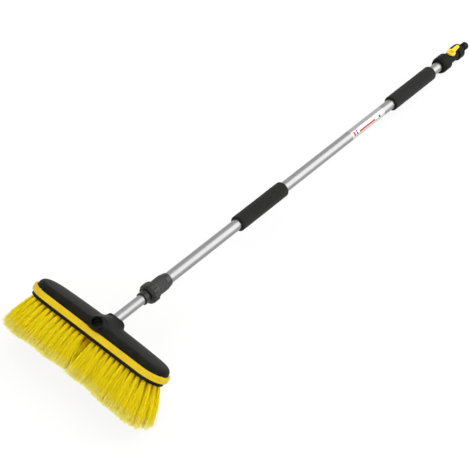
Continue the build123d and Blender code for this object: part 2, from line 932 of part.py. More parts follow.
with BuildPart() as stem_ring:
    with BuildSketch(Plane(origin=over_pole(valve_centre, 0).origin, x_dir=(1, 0, 0), z_dir=-pole_dir)):
        with Locations((stem_bore + stem_ring_radius, gland_top - stem_ring_radius - tube_fit)):
            Circle(stem_ring_radius)
    revolve(axis=Axis(over_pole(valve_centre, 0).origin, pole_up))
stem_ring.part.label = "stem_ring"
export_step(stem_ring.part, "parts/stem_ring.step")

with BuildPart() as ball_clearance:
    with Locations(pole_at(valve_centre).location):
        Sphere(ball_radius + seat_gap)

with BuildPart() as valve_seats:
    for near, far in ((-seat_reach, seat_thickness - seat_reach), (seat_reach - seat_thickness, seat_reach)):
        turned(
            (
                (seat_bore_radius, valve_centre + near),
                (seat_outer - tube_fit, valve_centre + near),
                (seat_outer - tube_fit, valve_centre + far),
                (seat_bore_radius, valve_centre + far),
            )
        )
    add(ball_clearance.part, mode=Mode.SUBTRACT)
valve_seats.part.label = "valve_seats"
export_step(valve_seats.part, "parts/valve_seats.step")

tongue_floor = ball_radius - ball_slot_depth
with BuildPart() as valve_ball:
    with Locations(pole_at(valve_centre).location):
        Sphere(ball_radius)
    turned(
        (
            (0, valve_centre - ball_radius - cut),
            (ball_bore_radius, valve_centre - ball_radius - cut),
            (ball_bore_radius, valve_centre + ball_radius + cut),
            (0, valve_centre + ball_radius + cut),
        ),
        mode=Mode.SUBTRACT,
    )
    with BuildSketch(over_pole(valve_centre, tongue_floor)):
        Rectangle(ball_slot_width, 2 * ball_radius)
    extrude(amount=ball_radius, mode=Mode.SUBTRACT)
valve_ball.part.label = "valve_ball"
export_step(valve_ball.part, "parts/valve_ball.step")

lever_bottom = gland_top + lever_gap
lever_top = lever_bottom + lever_hub_thickness
recess_floor = lever_top - lever_recess_depth
stem_square = stem_radius * math.sqrt(2) - tube_fit
with BuildPart() as valve_stem:
    with BuildSketch(over_pole(valve_centre, tongue_floor + tube_fit)):
        Rectangle(ball_slot_width - 2 * tube_fit, 2 * stem_radius)
        with BuildSketch(mode=Mode.PRIVATE) as stem_round:
            Circle(stem_radius)
        add(stem_round.sketch, mode=Mode.INTERSECT)
    extrude(amount=ball_slot_depth)
    with BuildSketch(over_pole(valve_centre, tongue_floor + ball_slot_depth + tube_fit)):
        Circle(stem_radius)
    extrude(amount=lever_bottom - tongue_floor - ball_slot_depth - tube_fit)
    with BuildSketch(over_pole(valve_centre, lever_bottom)):
        Rectangle(stem_square, stem_square)
    extrude(amount=recess_floor - lever_bottom - tube_fit)
    with BuildSketch(over_pole(valve_centre, recess_floor)):
        Circle(lever_bore_radius)
    extrude(amount=-lever_screw_length, mode=Mode.SUBTRACT)
valve_stem.part.label = "valve_stem"
export_step(valve_stem.part, "parts/valve_stem.step")

arm_tilt = math.atan2(lever_rise, lever_length)
arm_place = over_pole(valve_centre, lever_bottom).origin
arm_up = pole_up * math.cos(arm_tilt) - pole_dir * math.sin(arm_tilt)
arm_plane = Plane(origin=arm_place, x_dir=(1, 0, 0), z_dir=arm_up)
arm_end = lever_length - lever_tip_half
with BuildPart() as valve_lever:
    with BuildSketch(arm_plane):
        with BuildLine():
            Polyline(
                (-lever_tip_half, arm_end),
                (-lever_root_half, lever_recess_radius),
                (lever_root_half, lever_recess_radius),
                (lever_tip_half, arm_end),
            )
            ThreePointArc((lever_tip_half, arm_end), (0, lever_length), (-lever_tip_half, arm_end))
        make_face()
    extrude(amount=lever_thickness)
    with BuildSketch(over_pole(valve_centre, lever_bottom)):
        Circle(lever_hub_radius)
    extrude(amount=lever_hub_thickness)
    with BuildSketch(over_pole(valve_centre, recess_floor)):
        Circle(lever_recess_radius)
    extrude(amount=lever_top, mode=Mode.SUBTRACT)
    with BuildSketch(over_pole(valve_centre, lever_bottom)):
        Rectangle(stem_square + 2 * tube_fit, stem_square + 2 * tube_fit)
    extrude(amount=lever_hub_thickness, mode=Mode.SUBTRACT)
valve_lever.part.label = "valve_lever"
export_step(valve_lever.part, "parts/valve_lever.step")

with BuildPart() as lever_screw:
    with BuildSketch(over_pole(valve_centre, recess_floor)):
        Circle(screw_head_radius)
    extrude(amount=screw_head_height)
    with BuildSketch(over_pole(valve_centre, recess_floor)):
        Circle(screw_shank_radius)
    extrude(amount=-lever_screw_length + tube_fit)
lever_screw.part.label = "lever_screw"
export_step(lever_screw.part, "parts/lever_screw.step")

nipple_flange_end = thread_end + nut_wall + tube_fit
with BuildPart() as union_collar:
    turned(
        (
            (thread_tail_radius + tube_fit, collar_start),
            (collar_radius, collar_start),
            (collar_radius, collar_end),
            (nipple_root_radius + tube_fit, collar_end),
            (nipple_root_radius + tube_fit, nipple_flange_end + tube_fit),
            (thread_tail_radius + tube_fit, nipple_flange_end + tube_fit),
        )
    )
    rims = union_collar.edges().group_by(pole_axis)
    fillet((rims[0].sort_by(SortBy.RADIUS)[-1], rims[-1].sort_by(SortBy.RADIUS)[-1]), collar_round)
    with BuildSketch(pole_at(collar_start + collar_round)):
        with PolarLocations(collar_radius + collar_groove_radius / 2, collar_grooves):
            Circle(collar_groove_radius)
    extrude(amount=collar_end - collar_start - 2 * collar_round, mode=Mode.SUBTRACT)
union_collar.part.label = "union_collar"
export_step(union_collar.part, "parts/union_collar.step")

nipple_root_end = collar_end + nipple_root_length
nipple_waist_end = nipple_root_end + nipple_waist_length
nipple_ring_place = (nipple_waist_end + nipple_end) / 2
nipple_ring_middle = nipple_tip_radius - nipple_ring_radius - stem_gap / 2
with BuildPart() as hose_nipple:
    turned(
        (
            (nipple_bore_radius, valve_centre + seat_reach),
            (seat_outer - tube_fit, valve_centre + seat_reach),
            (seat_outer - tube_fit, thread_end + tube_fit),
            (thread_tail_radius, thread_end + tube_fit),
            (thread_tail_radius, nipple_flange_end),
            (nipple_root_radius, nipple_flange_end),
            (nipple_root_radius, nipple_root_end),
            (nipple_waist_radius, nipple_root_end),
            (nipple_waist_radius, nipple_waist_end),
            (nipple_tip_radius, nipple_waist_end),
            (nipple_tip_radius, nipple_end),
            (nipple_bore_radius, nipple_end),
        )
    )
    chamfer(hose_nipple.edges().group_by(pole_axis)[-1].sort_by(SortBy.RADIUS)[-1], nipple_ring_radius)
    turned(
        (
            (nipple_ring_middle - nipple_ring_radius, nipple_ring_place - nipple_ring_radius),
            (nipple_tip_radius + cut, nipple_ring_place - nipple_ring_radius),
            (nipple_tip_radius + cut, nipple_ring_place + nipple_ring_radius),
            (nipple_ring_middle - nipple_ring_radius, nipple_ring_place + nipple_ring_radius),
        ),
        mode=Mode.SUBTRACT,
    )
hose_nipple.part.label = "hose_nipple"
export_step(hose_nipple.part, "parts/hose_nipple.step")

with BuildPart() as nipple_ring:
    with BuildSketch(pole_section):
        with Locations((nipple_ring_middle, nipple_ring_place)):
            Circle(nipple_ring_radius)
    revolve(axis=pole_axis)
nipple_ring.part.label = "nipple_ring"
export_step(nipple_ring.part, "parts/nipple_ring.step")

print("slope", math.degrees(slope))
print("pole origin", pole_origin, "dir", pole_dir, "up", pole_up)
print("head origin", head_origin, "up", head_up, "back", head_back)
print("spare", spare_origin, spare_dir)
print("strands", 4 * (len(outer_places) + len(middle_places) + len(centre_places)))
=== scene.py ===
"""Looks of a water-fed car wash brush on a telescopic pole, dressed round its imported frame.

The brush lies on a floor. Its head carries bristles in rings of tufts under a moulded cover, and its
pole has a twist lock, two foam grips, a label without words and a ball valve with a hose tail. Local
sizes are in millimetres, and each piece is placed once, in metres, when its mesh is made.
"""

import json
import logging
import math
from dataclasses import dataclass
from enum import Enum
from typing import Callable

import bpy
import numpy as np
from mathutils import Matrix, Vector


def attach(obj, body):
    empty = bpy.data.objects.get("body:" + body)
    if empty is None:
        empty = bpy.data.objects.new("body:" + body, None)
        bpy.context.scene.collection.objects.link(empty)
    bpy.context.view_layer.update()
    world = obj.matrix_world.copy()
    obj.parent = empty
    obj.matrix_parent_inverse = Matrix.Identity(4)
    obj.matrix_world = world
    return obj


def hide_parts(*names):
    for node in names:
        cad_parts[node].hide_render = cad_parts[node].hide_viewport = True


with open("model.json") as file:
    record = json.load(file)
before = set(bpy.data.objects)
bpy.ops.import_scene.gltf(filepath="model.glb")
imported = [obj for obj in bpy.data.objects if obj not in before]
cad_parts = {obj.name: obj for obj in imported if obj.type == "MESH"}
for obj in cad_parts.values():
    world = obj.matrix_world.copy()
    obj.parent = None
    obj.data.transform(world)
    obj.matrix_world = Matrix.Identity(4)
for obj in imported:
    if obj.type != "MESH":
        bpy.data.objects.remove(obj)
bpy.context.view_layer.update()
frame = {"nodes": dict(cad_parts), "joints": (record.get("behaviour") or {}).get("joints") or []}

MM = 0.001
SEED = 20
HEAD_LENGTH = 299.0
HEAD_DEPTH = 82.0
HEAD_LEAN_DEG = 52.5
SOCKET_SETBACK = 13.0
WHITE_LIGHT = (1.0, 1.0, 1.0, 1.0)
ROUNDED_SHARE = 0.45
FEWEST_POINTS = 8
Array = np.ndarray
Carve = Callable[[Array, Array, Array], Array]
log = logging.getLogger("car_wash_brush")


class TuftRing(Enum):
    """The three groups of tufts, by the solids that they stand for."""

    OUTER = "bristle_ring_outer"
    MIDDLE = "bristle_ring_middle"
    CENTRE = "bristle_row_centre"


@dataclass(frozen=True)
class Axes:
    """A local frame: an origin and three unit directions, in millimetres."""

    origin: Array
    x: Array
    y: Array
    z: Array

    def place(self, points: Array) -> Array:
        """Turns rows of local points in millimetres into world points in metres."""
        return (self.origin + points @ np.stack([self.x, self.y, self.z])) * MM


def joint_line(name: str) -> tuple[Array, Array]:
    """Reads a joint's point, in millimetres, and its axis from the frame.

    Args:
        name: the joint's name.

    Returns:
        The point and the unit axis.
    """
    joint = next(j for j in frame["joints"] if j["name"] == name)
    return np.array(joint["pos_m"]) / MM, np.array(joint["axis"])


def pole_axes() -> Axes:
    """The pole's frame: z runs to the hose end and y points up, from where the pole meets the head.

    Returns:
        The pole's frame.
    """
    origin, along = joint_line("pole_turn")
    side = np.array([-1.0, 0.0, 0.0])
    return Axes(origin, side, np.cross(along, side), along)


def head_axes(pole: Axes, lean_deg: float, setback: float) -> Axes:
    """The head's frame: x runs along the head, y to its back and z up through its cover.

    Args:
        pole: the pole's frame.
        lean_deg: angle between the pole and the head's up direction.
        setback: how far behind the head's middle the pole's axis meets its mid-plane.

    Returns:
        The head's frame.
    """
    lean = math.radians(lean_deg)
    up = pole.z * math.cos(lean) + pole.y * math.sin(lean)
    back = pole.z * math.sin(lean) - pole.y * math.cos(lean)
    side = np.array([1.0, 0.0, 0.0])
    return Axes(pole.origin - side * pole.origin[0] - back * setback, side, back, up)


def mesh_object(name: str, points: Array, faces: list[Array]) -> bpy.types.Object:
    """Makes a smooth mesh object at the world's origin.

    Args:
        name: the piece's name.
        points: world points in metres, one row each.
        faces: arrays of vertex numbers, one row to a face, three or four to a row.

    Returns:
        The linked object.
    """
    mesh = bpy.data.meshes.new(name)
    totals = np.concatenate([np.full(len(group), group.shape[1]) for group in faces])
    corners = np.concatenate([group.ravel() for group in faces])
    mesh.vertices.add(len(points))
    mesh.vertices.foreach_set("co", points.astype(np.float32).ravel())
    mesh.loops.add(len(corners))
    mesh.loops.foreach_set("vertex_index", corners.astype(np.int32))
    mesh.polygons.add(len(totals))
    mesh.polygons.foreach_set("loop_start", (np.cumsum(totals) - totals).astype(np.int32))
    mesh.polygons.foreach_set("use_smooth", np.ones(len(totals), bool))
    mesh.update(calc_edges=True)
    mesh.validate()
    made = bpy.data.objects.new(name, mesh)
    bpy.context.scene.collection.objects.link(made)
    return made


def surface(name: str, grid: Array, axes: Axes) -> bpy.types.Object:
    """Makes a piece from a grid of local points whose rows and columns both close on themselves.

    Args:
        name: the piece's name.
        grid: points with shape (rows, columns, 3), in millimetres.
        axes: the frame that the points are in.

    Returns:
        The piece.
    """
    rows, columns = grid.shape[:2]
    row, column = np.meshgrid(np.arange(rows), np.arange(columns), indexing="ij")
    beside, above = (column + 1) % columns, (row + 1) % rows
    quads = np.stack([row * columns + column, row * columns + beside, above * columns + beside,
                      above * columns + column], axis=-1)
    return mesh_object(name, axes.place(grid.reshape(-1, 3)), [quads.reshape(-1, 4)])


def rounded(corners: Array, rounding: float, steps: int = 5) -> Array:
    """Rounds the corners of a closed outline.

    Each corner becomes a parabola that leaves and meets its two sides at the rounding's distance from the
    corner, or at under half of a shorter side. At t it lies at (1-t)^2 times the start, plus 2t(1-t) times
    the corner, plus t^2 times the end.

    Args:
        corners: the outline's points, one row each.
        rounding: distance from the corner to where its curve starts.
        steps: points on each curve.

    Returns:
        The points of the rounded outline.
    """
    before = np.roll(corners, 1, axis=0) - corners
    after = np.roll(corners, -1, axis=0) - corners
    lengths = [np.linalg.norm(side, axis=1, keepdims=True) for side in (before, after)]
    reach = np.minimum(rounding, ROUNDED_SHARE * np.minimum(*lengths))
    start = corners + before / lengths[0] * reach
    end = corners + after / lengths[1] * reach
    t = np.linspace(0, 1, steps)[None, :, None]
    curve = (1 - t) ** 2 * start[:, None] + 2 * t * (1 - t) * corners[:, None] + t**2 * end[:, None]
    return curve.reshape(-1, 2)


def spaced(outline: Array, step: float) -> Array:
    """Spreads points evenly along a closed outline.

    Args:
        outline: the outline's points.
        step: distance between points, along the outline.

    Returns:
        Points on the outline, at even steps.
    """
    closed = np.concatenate([outline, outline[:1]])
    run = np.concatenate([[0.0], np.cumsum(np.linalg.norm(np.diff(closed, axis=0), axis=1))])
    places = np.linspace(0, run[-1], max(FEWEST_POINTS, round(run[-1] / step)), endpoint=False)
    return np.stack([np.interp(places, run, closed[:, axis]) for axis in (0, 1)], axis=1)


def turned(outline: Array, columns: int, carve: Carve | None = None) -> Array:
    """Carries a closed outline of radius and station pairs round the pole.

    A point lies at radius times the cosine and sine of its angle, at its station. The outline goes towards
    the hose end on the outside and comes back inside, so that its faces point outwards.

    Args:
        outline: rows of radius and station.
        columns: points in a full turn.
        carve: gives the new radius from the radius, the station and the angle.

    Returns:
        A grid of points for surface().
    """
    angle = np.linspace(0, 2 * np.pi, columns, endpoint=False)[None, :]
    radius, station = outline[:, :1], outline[:, 1:]
    radius = carve(radius, station, angle) if carve else radius + 0 * angle
    return np.stack([radius * np.cos(angle), radius * np.sin(angle), station + 0 * angle], axis=-1)


def smooth_step(value: Array, low: float, high: float) -> Array:
    """Rises from 0 at low to 1 at high as 3t^2 - 2t^3."""
    t = np.clip((value - low) / (high - low), 0, 1)
    return t * t * (3 - 2 * t)


def rolling(points: Array, wave: float, count: int, seed: int) -> Array:
    """Smooth noise from -1 to 1: the mean of sines of one wavelength in random directions.

    Args:
        points: rows of coordinates, in millimetres.
        wave: the sines' wavelength.
        count: how many sines.
        seed: the random number generator's seed.

    Returns:
        One value for each point.
    """
    draw = np.random.default_rng(seed)
    turn = draw.normal(size=(3, count))
    turn *= 2 * np.pi / wave / np.linalg.norm(turn, axis=0)
    return np.sin(points @ turn + draw.uniform(0, 2 * np.pi, count)).mean(-1)


def linear(colour: str) -> tuple[float, float, float, float]:
    """Turns an sRGB colour into linear light: s / 12.92 near black, else ((s + 0.055) / 1.055)^2.4.

    Args:
        colour: a hash sign and six hex digits.

    Returns:
        Linear red, green and blue, and an alpha of 1.
    """
    shares = [int(colour[place:place + 2], 16) / 255 for place in (1, 3, 5)]
    channels = [s / 12.92 if s <= 0.04045 else ((s + 0.055) / 1.055) ** 2.4 for s in shares]
    return (*channels, 1.0)


def add_node(tree: bpy.types.NodeTree, kind: str, settings: dict, inputs: dict) -> bpy.types.Node:
    """Adds a node with its settings, and sets or links its sockets.

    Args:
        tree: the node tree.
        kind: the node's type.
        settings: properties of the node.
        inputs: socket name or number, with a value or the socket that feeds it.

    Returns:
        The node.
    """
    node = tree.nodes.new(kind)
    for name, value in settings.items():
        setattr(node, name, value)
    for name, value in inputs.items():
        if isinstance(value, bpy.types.NodeSocket):
            tree.links.new(value, node.inputs[name])
        else:
            node.inputs[name].default_value = value
    return node


def per_metre(size_mm: float) -> float:
    """A texture scale whose features are about that many millimetres."""
    return 1 / (size_mm * MM)


@dataclass(frozen=True)
class Finish:
    """A surface finish, which builds one material.

    Its sizes are in millimetres. Fields that end in from and to are the levels of a pattern, or the shares
    of a length, between which one colour gives way to the other.
    """

    name: str

    def sockets(self, tree: bpy.types.NodeTree) -> dict:
        """Adds the finish's nodes.

        Args:
            tree: the material's node tree.

        Returns:
            The shader's sockets, each with its value or the socket that feeds it.
        """
        raise NotImplementedError

    def material(self) -> bpy.types.Material:
        """Builds the material, or finds it where another piece has it.

        Returns:
            The material.
        """
        found = bpy.data.materials.get(self.name)
        if found:
            return found
        made = bpy.data.materials.new(self.name)
        made.use_nodes = True
        tree = made.node_tree
        tree.nodes.clear()
        shader = add_node(tree, "ShaderNodeBsdfPrincipled", {}, self.sockets(tree))
        add_node(tree, "ShaderNodeOutputMaterial", {}, {"Surface": shader.outputs[0]})
        return made


@dataclass(frozen=True)
class MouldedPlastic(Finish):
    """Injection-moulded polypropylene or ABS with a fine spark-eroded grain, which dulls its gloss."""

    colour: str = "#131310"
    worn_colour: str = "#1D1D19"
    worn_from: float = 0.42
    worn_to: float = 0.72
    roughness: float = 0.52
    smoother: float = 0.06
    rougher: float = 0.08
    specular: float = 0.06
    grain: float = 0.9
    grain_depth: float = 0.05
    grain_strength: float = 0.6
    cloud: float = 26.0

    def sockets(self, tree: bpy.types.NodeTree) -> dict:
        """Clouds of slightly paler handling marks over a fine grain.

        Args:
            tree: the material's node tree.

        Returns:
            The shader's sockets with what they hold.
        """
        place = add_node(tree, "ShaderNodeTexCoord", {}, {}).outputs["Object"]
        cloud = add_node(tree, "ShaderNodeTexNoise", {}, {
            "Vector": place, "Scale": per_metre(self.cloud), "Detail": 4.0, "Roughness": 0.6})
        share = add_node(tree, "ShaderNodeMapRange", {}, {
            "Value": cloud.outputs[0], "From Min": self.worn_from, "From Max": self.worn_to})
        colour = add_node(tree, "ShaderNodeMix", {"data_type": "RGBA"}, {
            0: share.outputs[0], 6: linear(self.colour), 7: linear(self.worn_colour)})
        grain = add_node(tree, "ShaderNodeTexNoise", {}, {
            "Vector": place, "Scale": per_metre(self.grain), "Detail": 2.0})
        bump = add_node(tree, "ShaderNodeBump", {}, {
            "Height": grain.outputs[0], "Strength": self.grain_strength, "Distance": self.grain_depth * MM})
        gloss = add_node(tree, "ShaderNodeMapRange", {}, {
            "Value": cloud.outputs[0], "To Min": self.roughness - self.smoother,
            "To Max": self.roughness + self.rougher})
        return {"Base Color": colour.outputs[2], "Roughness": gloss.outputs[0], "Normal": bump.outputs[0],
                "Specular IOR Level": self.specular}


@dataclass(frozen=True)
class FoamRubber(Finish):
    """Closed-cell nitrile foam: matt, with open pores where its skin was ground off."""

    colour: str = "#1E1E1D"
    # pore_shade_colour is painted shade in the pores.
    pore_shade_colour: str = "#101010"
    pore: float = 1.3
    pore_depth: float = 0.35
    pore_strength: float = 0.8
    pore_from: float = 0.12
    pore_to: float = 0.5
    mottle: float = 9.0
    dark_to: float = 0.1
    pale_from: float = 0.55
    roughness: float = 0.85
    sheen: float = 0.05
    specular: float = 0.15

    def sockets(self, tree: bpy.types.NodeTree) -> dict:
        """A slow mottle over pores, which are drawn at twice their real width so that they show. The pores'
        darker colour is painted shade.

        Args:
            tree: the material's node tree.

        Returns:
            The shader's sockets with what they hold.
        """
        place = add_node(tree, "ShaderNodeTexCoord", {}, {}).outputs["Object"]
        cells = add_node(tree, "ShaderNodeTexVoronoi", {}, {
            "Vector": place, "Scale": per_metre(self.pore), "Randomness": 1.0})
        pits = add_node(tree, "ShaderNodeMapRange", {"interpolation_type": "SMOOTHSTEP"}, {
            "Value": cells.outputs["Distance"], "From Min": self.pore_from, "From Max": self.pore_to})
        mottle = add_node(tree, "ShaderNodeTexNoise", {}, {
            "Vector": place, "Scale": per_metre(self.mottle), "Detail": 5.0, "Roughness": 0.65})
        tone = add_node(tree, "ShaderNodeMath", {"operation": "MULTIPLY"}, {
            0: pits.outputs[0], 1: mottle.outputs[0]})
        shade = add_node(tree, "ShaderNodeMapRange", {}, {
            "Value": tone.outputs[0], "From Min": self.dark_to, "From Max": self.pale_from})
        # Painted shade in the pores, under a random mottle of tone.
        colour = add_node(tree, "ShaderNodeMix", {"data_type": "RGBA"}, {
            0: shade.outputs[0], 6: linear(self.pore_shade_colour), 7: linear(self.colour)})
        bump = add_node(tree, "ShaderNodeBump", {}, {
            "Height": pits.outputs[0], "Strength": self.pore_strength, "Distance": self.pore_depth * MM})
        return {"Base Color": colour.outputs[2], "Roughness": self.roughness, "Normal": bump.outputs[0],
                "Sheen Weight": self.sheen, "Specular IOR Level": self.specular}


@dataclass(frozen=True)
class AnodisedAluminium(Finish):
    """Drawn aluminium tube with a clear satin anodised skin: soft bands along it, and faint draw lines."""

    colour: str = "#969697"
    dull_colour: str = "#8A8A8B"
    roughness: float = 0.36
    smoother: float = 0.05
    rougher: float = 0.07
    cloud: float = 30.0
    line_width: float = 0.5
    line_length: float = 140.0
    line_depth: float = 0.02
    line_strength: float = 0.15

    def sockets(self, tree: bpy.types.NodeTree) -> dict:
        """Draw lines are noise stretched along the pole, on coordinates turned by the pole's slope.

        Args:
            tree: the material's node tree.

        Returns:
            The shader's sockets with what they hold.
        """
        place = add_node(tree, "ShaderNodeTexCoord", {}, {}).outputs["Object"]
        along = pole_axes().z
        slope = math.atan2(along[2], along[1])
        across_scale, along_scale = per_metre(self.line_width), per_metre(self.line_length)
        lines_at = add_node(tree, "ShaderNodeMapping", {}, {
            "Vector": place, "Rotation": (-slope, 0.0, 0.0),
            "Scale": (across_scale, along_scale, across_scale)})
        lines = add_node(tree, "ShaderNodeTexNoise", {}, {
            "Vector": lines_at.outputs[0], "Scale": 1.0, "Detail": 3.0})
        cloud = add_node(tree, "ShaderNodeTexNoise", {}, {
            "Vector": place, "Scale": per_metre(self.cloud), "Detail": 4.0})
        colour = add_node(tree, "ShaderNodeMix", {"data_type": "RGBA"}, {
            0: lines.outputs[0], 6: linear(self.dull_colour), 7: linear(self.colour)})
        gloss = add_node(tree, "ShaderNodeMapRange", {}, {
            "Value": cloud.outputs[0], "To Min": self.roughness - self.smoother,
            "To Max": self.roughness + self.rougher})
        bump = add_node(tree, "ShaderNodeBump", {}, {
            "Height": lines.outputs[0], "Strength": self.line_strength, "Distance": self.line_depth * MM})
        return {"Base Color": colour.outputs[2], "Roughness": gloss.outputs[0], "Metallic": 1.0,
                "Normal": bump.outputs[0]}


@dataclass(frozen=True)
class SoftRubber(Finish):
    """Moulded thermoplastic rubber: coloured through, with a low even sheen."""

    colour: str = "#D2B600"
    deep_colour: str = "#C6A600"
    deep_from: float = 0.35
    deep_to: float = 0.7
    roughness: float = 0.5
    specular: float = 0.25
    cloud: float = 18.0
    grain: float = 0.8
    grain_depth: float = 0.03
    grain_strength: float = 0.4

    def sockets(self, tree: bpy.types.NodeTree) -> dict:
        """Slow changes of tone, and a very fine grain.

        Args:
            tree: the material's node tree.

        Returns:
            The shader's sockets with what they hold.
        """
        place = add_node(tree, "ShaderNodeTexCoord", {}, {}).outputs["Object"]
        cloud = add_node(tree, "ShaderNodeTexNoise", {}, {
            "Vector": place, "Scale": per_metre(self.cloud), "Detail": 5.0, "Roughness": 0.6})
        share = add_node(tree, "ShaderNodeMapRange", {}, {
            "Value": cloud.outputs[0], "From Min": self.deep_from, "From Max": self.deep_to})
        colour = add_node(tree, "ShaderNodeMix", {"data_type": "RGBA"}, {
            0: share.outputs[0], 6: linear(self.colour), 7: linear(self.deep_colour)})
        grain = add_node(tree, "ShaderNodeTexNoise", {}, {
            "Vector": place, "Scale": per_metre(self.grain), "Detail": 2.0})
        bump = add_node(tree, "ShaderNodeBump", {}, {
            "Height": grain.outputs[0], "Strength": self.grain_strength, "Distance": self.grain_depth * MM})
        return {"Base Color": colour.outputs[2], "Roughness": self.roughness, "Normal": bump.outputs[0],
                "Specular IOR Level": self.specular}


@dataclass(frozen=True)
class SplitFilament(Finish):
    """Soft split-end polyester filament, pale at its tip; amber painted shade darkens its hidden roots."""

    # deep_colour is amber painted shade, laid on the roots of filaments hidden beside or behind others.
    deep_colour: str = "#C48208"
    body_colour: str = "#FCE80C"
    tip_colour: str = "#EEEA84"
    streak_colour: str = "#F0CC08"
    sheen_colour: str = "#FFE628"
    deep_to: float = 0.08
    body_from: float = 0.42
    tip_from: float = 0.66
    streak_from: float = 0.5
    streak_most: float = 0.55
    roughness: float = 0.6
    specular: float = 0.12
    sheen: float = 0.7
    sheen_roughness: float = 0.5

    def sockets(self, tree: bpy.types.NodeTree) -> dict:
        """Colours follow the share of the filament's length, and differ a little from one to the next.

        Args:
            tree: the material's node tree.

        Returns:
            The shader's sockets with what they hold.
        """
        along, shade, depth = (
            add_node(tree, "ShaderNodeAttribute", {"attribute_name": name}, {}).outputs["Fac"]
            for name in ("along", "shade", "depth"))
        root = add_node(tree, "ShaderNodeMapRange", {"interpolation_type": "SMOOTHSTEP"}, {
            "Value": along, "From Min": self.deep_to, "From Max": self.body_from,
            "To Min": 1.0, "To Max": 0.0})
        # Painted shade: deep_colour covers the root up to deep_to of the length, as far as the depth
        # attribute says.
        root_shade = add_node(tree, "ShaderNodeMath", {"operation": "MULTIPLY"}, {0: root.outputs[0], 1: depth})
        upper = add_node(tree, "ShaderNodeMapRange", {"interpolation_type": "SMOOTHSTEP"}, {
            "Value": along, "From Min": self.tip_from, "From Max": 1.0})
        streaks = add_node(tree, "ShaderNodeMapRange", {}, {
            "Value": shade, "From Min": self.streak_from, "From Max": 1.0, "To Max": self.streak_most})
        colour = linear(self.body_colour)
        layers = ((root_shade, self.deep_colour), (upper, self.tip_colour), (streaks, self.streak_colour))
        for share, other in layers:
            colour = add_node(tree, "ShaderNodeMix", {"data_type": "RGBA"}, {
                0: share.outputs[0], 6: colour, 7: linear(other)}).outputs[2]
        return {"Base Color": colour, "Roughness": self.roughness, "Specular IOR Level": self.specular,
                "Sheen Weight": self.sheen, "Sheen Roughness": self.sheen_roughness,
                "Sheen Tint": linear(self.sheen_colour)}


@dataclass(frozen=True)
class Mark:
    """A plain oblong on the label, in millimetres from the label's start and from its middle line."""

    start: float
    end: float
    near: float
    far: float
    colour: str


@dataclass(frozen=True)
class LabelFilm(Finish):
    """Silvered polyester film, printed with a white field, plain bars and stripes along the pole."""

    colour: str = "#A9A8A7"
    marks: tuple[Mark, ...] = (
        Mark(-1.0, 122.0, -2.4, 11.5, "#C8C5C3"),
        Mark(6.0, 12.0, -1.4, 7.6, "#A23430"),
        Mark(16.0, 20.0, -1.4, 7.6, "#36363A"),
        Mark(26.0, 84.0, 3.4, 6.8, "#A23430"),
        Mark(26.0, 104.0, 0.0, 1.4, "#8A8888"),
        Mark(98.0, 104.0, 2.6, 7.6, "#36363A"),
    )
    start: float = 776.0
    across: tuple[float, float, float] = (0.912, -0.023, -0.409)
    wear: float = 6.0
    smoothest: float = 0.24
    roughest: float = 0.4
    metallic: float = 0.85

    def sockets(self, tree: bpy.types.NodeTree) -> dict:
        """Each mark covers the film between two stations of the pole and between two places across it.

        Args:
            tree: the material's node tree.

        Returns:
            The shader's sockets with what they hold.
        """
        place = add_node(tree, "ShaderNodeTexCoord", {}, {}).outputs["Object"]
        pole = pole_axes()
        along, aside = (add_node(tree, "ShaderNodeVectorMath", {"operation": "DOT_PRODUCT"}, {
            0: place, 1: tuple(way)}).outputs["Value"] for way in (pole.z, self.across))
        edge = self.start + float(pole.origin @ pole.z)
        centre = float(pole.origin @ np.array(self.across))
        colour = linear(self.colour)
        for mark in self.marks:
            spans = ((along, edge, mark.start, mark.end), (aside, centre, mark.near, mark.far))
            inside = [add_node(tree, "ShaderNodeMath", {"operation": "COMPARE"}, {
                0: value, 1: (base + (first + last) / 2) * MM, 2: (last - first) / 2 * MM})
                for value, base, first, last in spans]
            both = add_node(tree, "ShaderNodeMath", {"operation": "MULTIPLY"}, {
                0: inside[0].outputs[0], 1: inside[1].outputs[0]})
            colour = add_node(tree, "ShaderNodeMix", {"data_type": "RGBA"}, {
                0: both.outputs[0], 6: colour, 7: linear(mark.colour)}).outputs[2]
        wear = add_node(tree, "ShaderNodeTexNoise", {}, {
            "Vector": place, "Scale": per_metre(self.wear), "Detail": 4.0})
        gloss = add_node(tree, "ShaderNodeMapRange", {}, {
            "Value": wear.outputs[0], "To Min": self.smoothest, "To Max": self.roughest})
        return {"Base Color": colour, "Roughness": gloss.outputs[0], "Metallic": self.metallic}


@dataclass(frozen=True)
class PlatedMetal(Finish):
    """Chromed brass or zinc-coated steel: a small bright part whose plating dulls a little in patches."""

    colour: str = "#B9B9B6"
    roughness: float = 0.3
    spread: float = 0.08
    mottle: float = 2.0

    def sockets(self, tree: bpy.types.NodeTree) -> dict:
        """A faint mottle in the gloss.

        Args:
            tree: the material's node tree.

        Returns:
            The shader's sockets with what they hold.
        """
        place = add_node(tree, "ShaderNodeTexCoord", {}, {}).outputs["Object"]
        mottle = add_node(tree, "ShaderNodeTexNoise", {}, {
            "Vector": place, "Scale": per_metre(self.mottle), "Detail": 4.0})
        gloss = add_node(tree, "ShaderNodeMapRange", {}, {
            "Value": mottle.outputs[0], "To Min": self.roughness - self.spread,
            "To Max": self.roughness + self.spread})
        return {"Base Color": linear(self.colour), "Metallic": 1.0, "Roughness": gloss.outputs[0]}


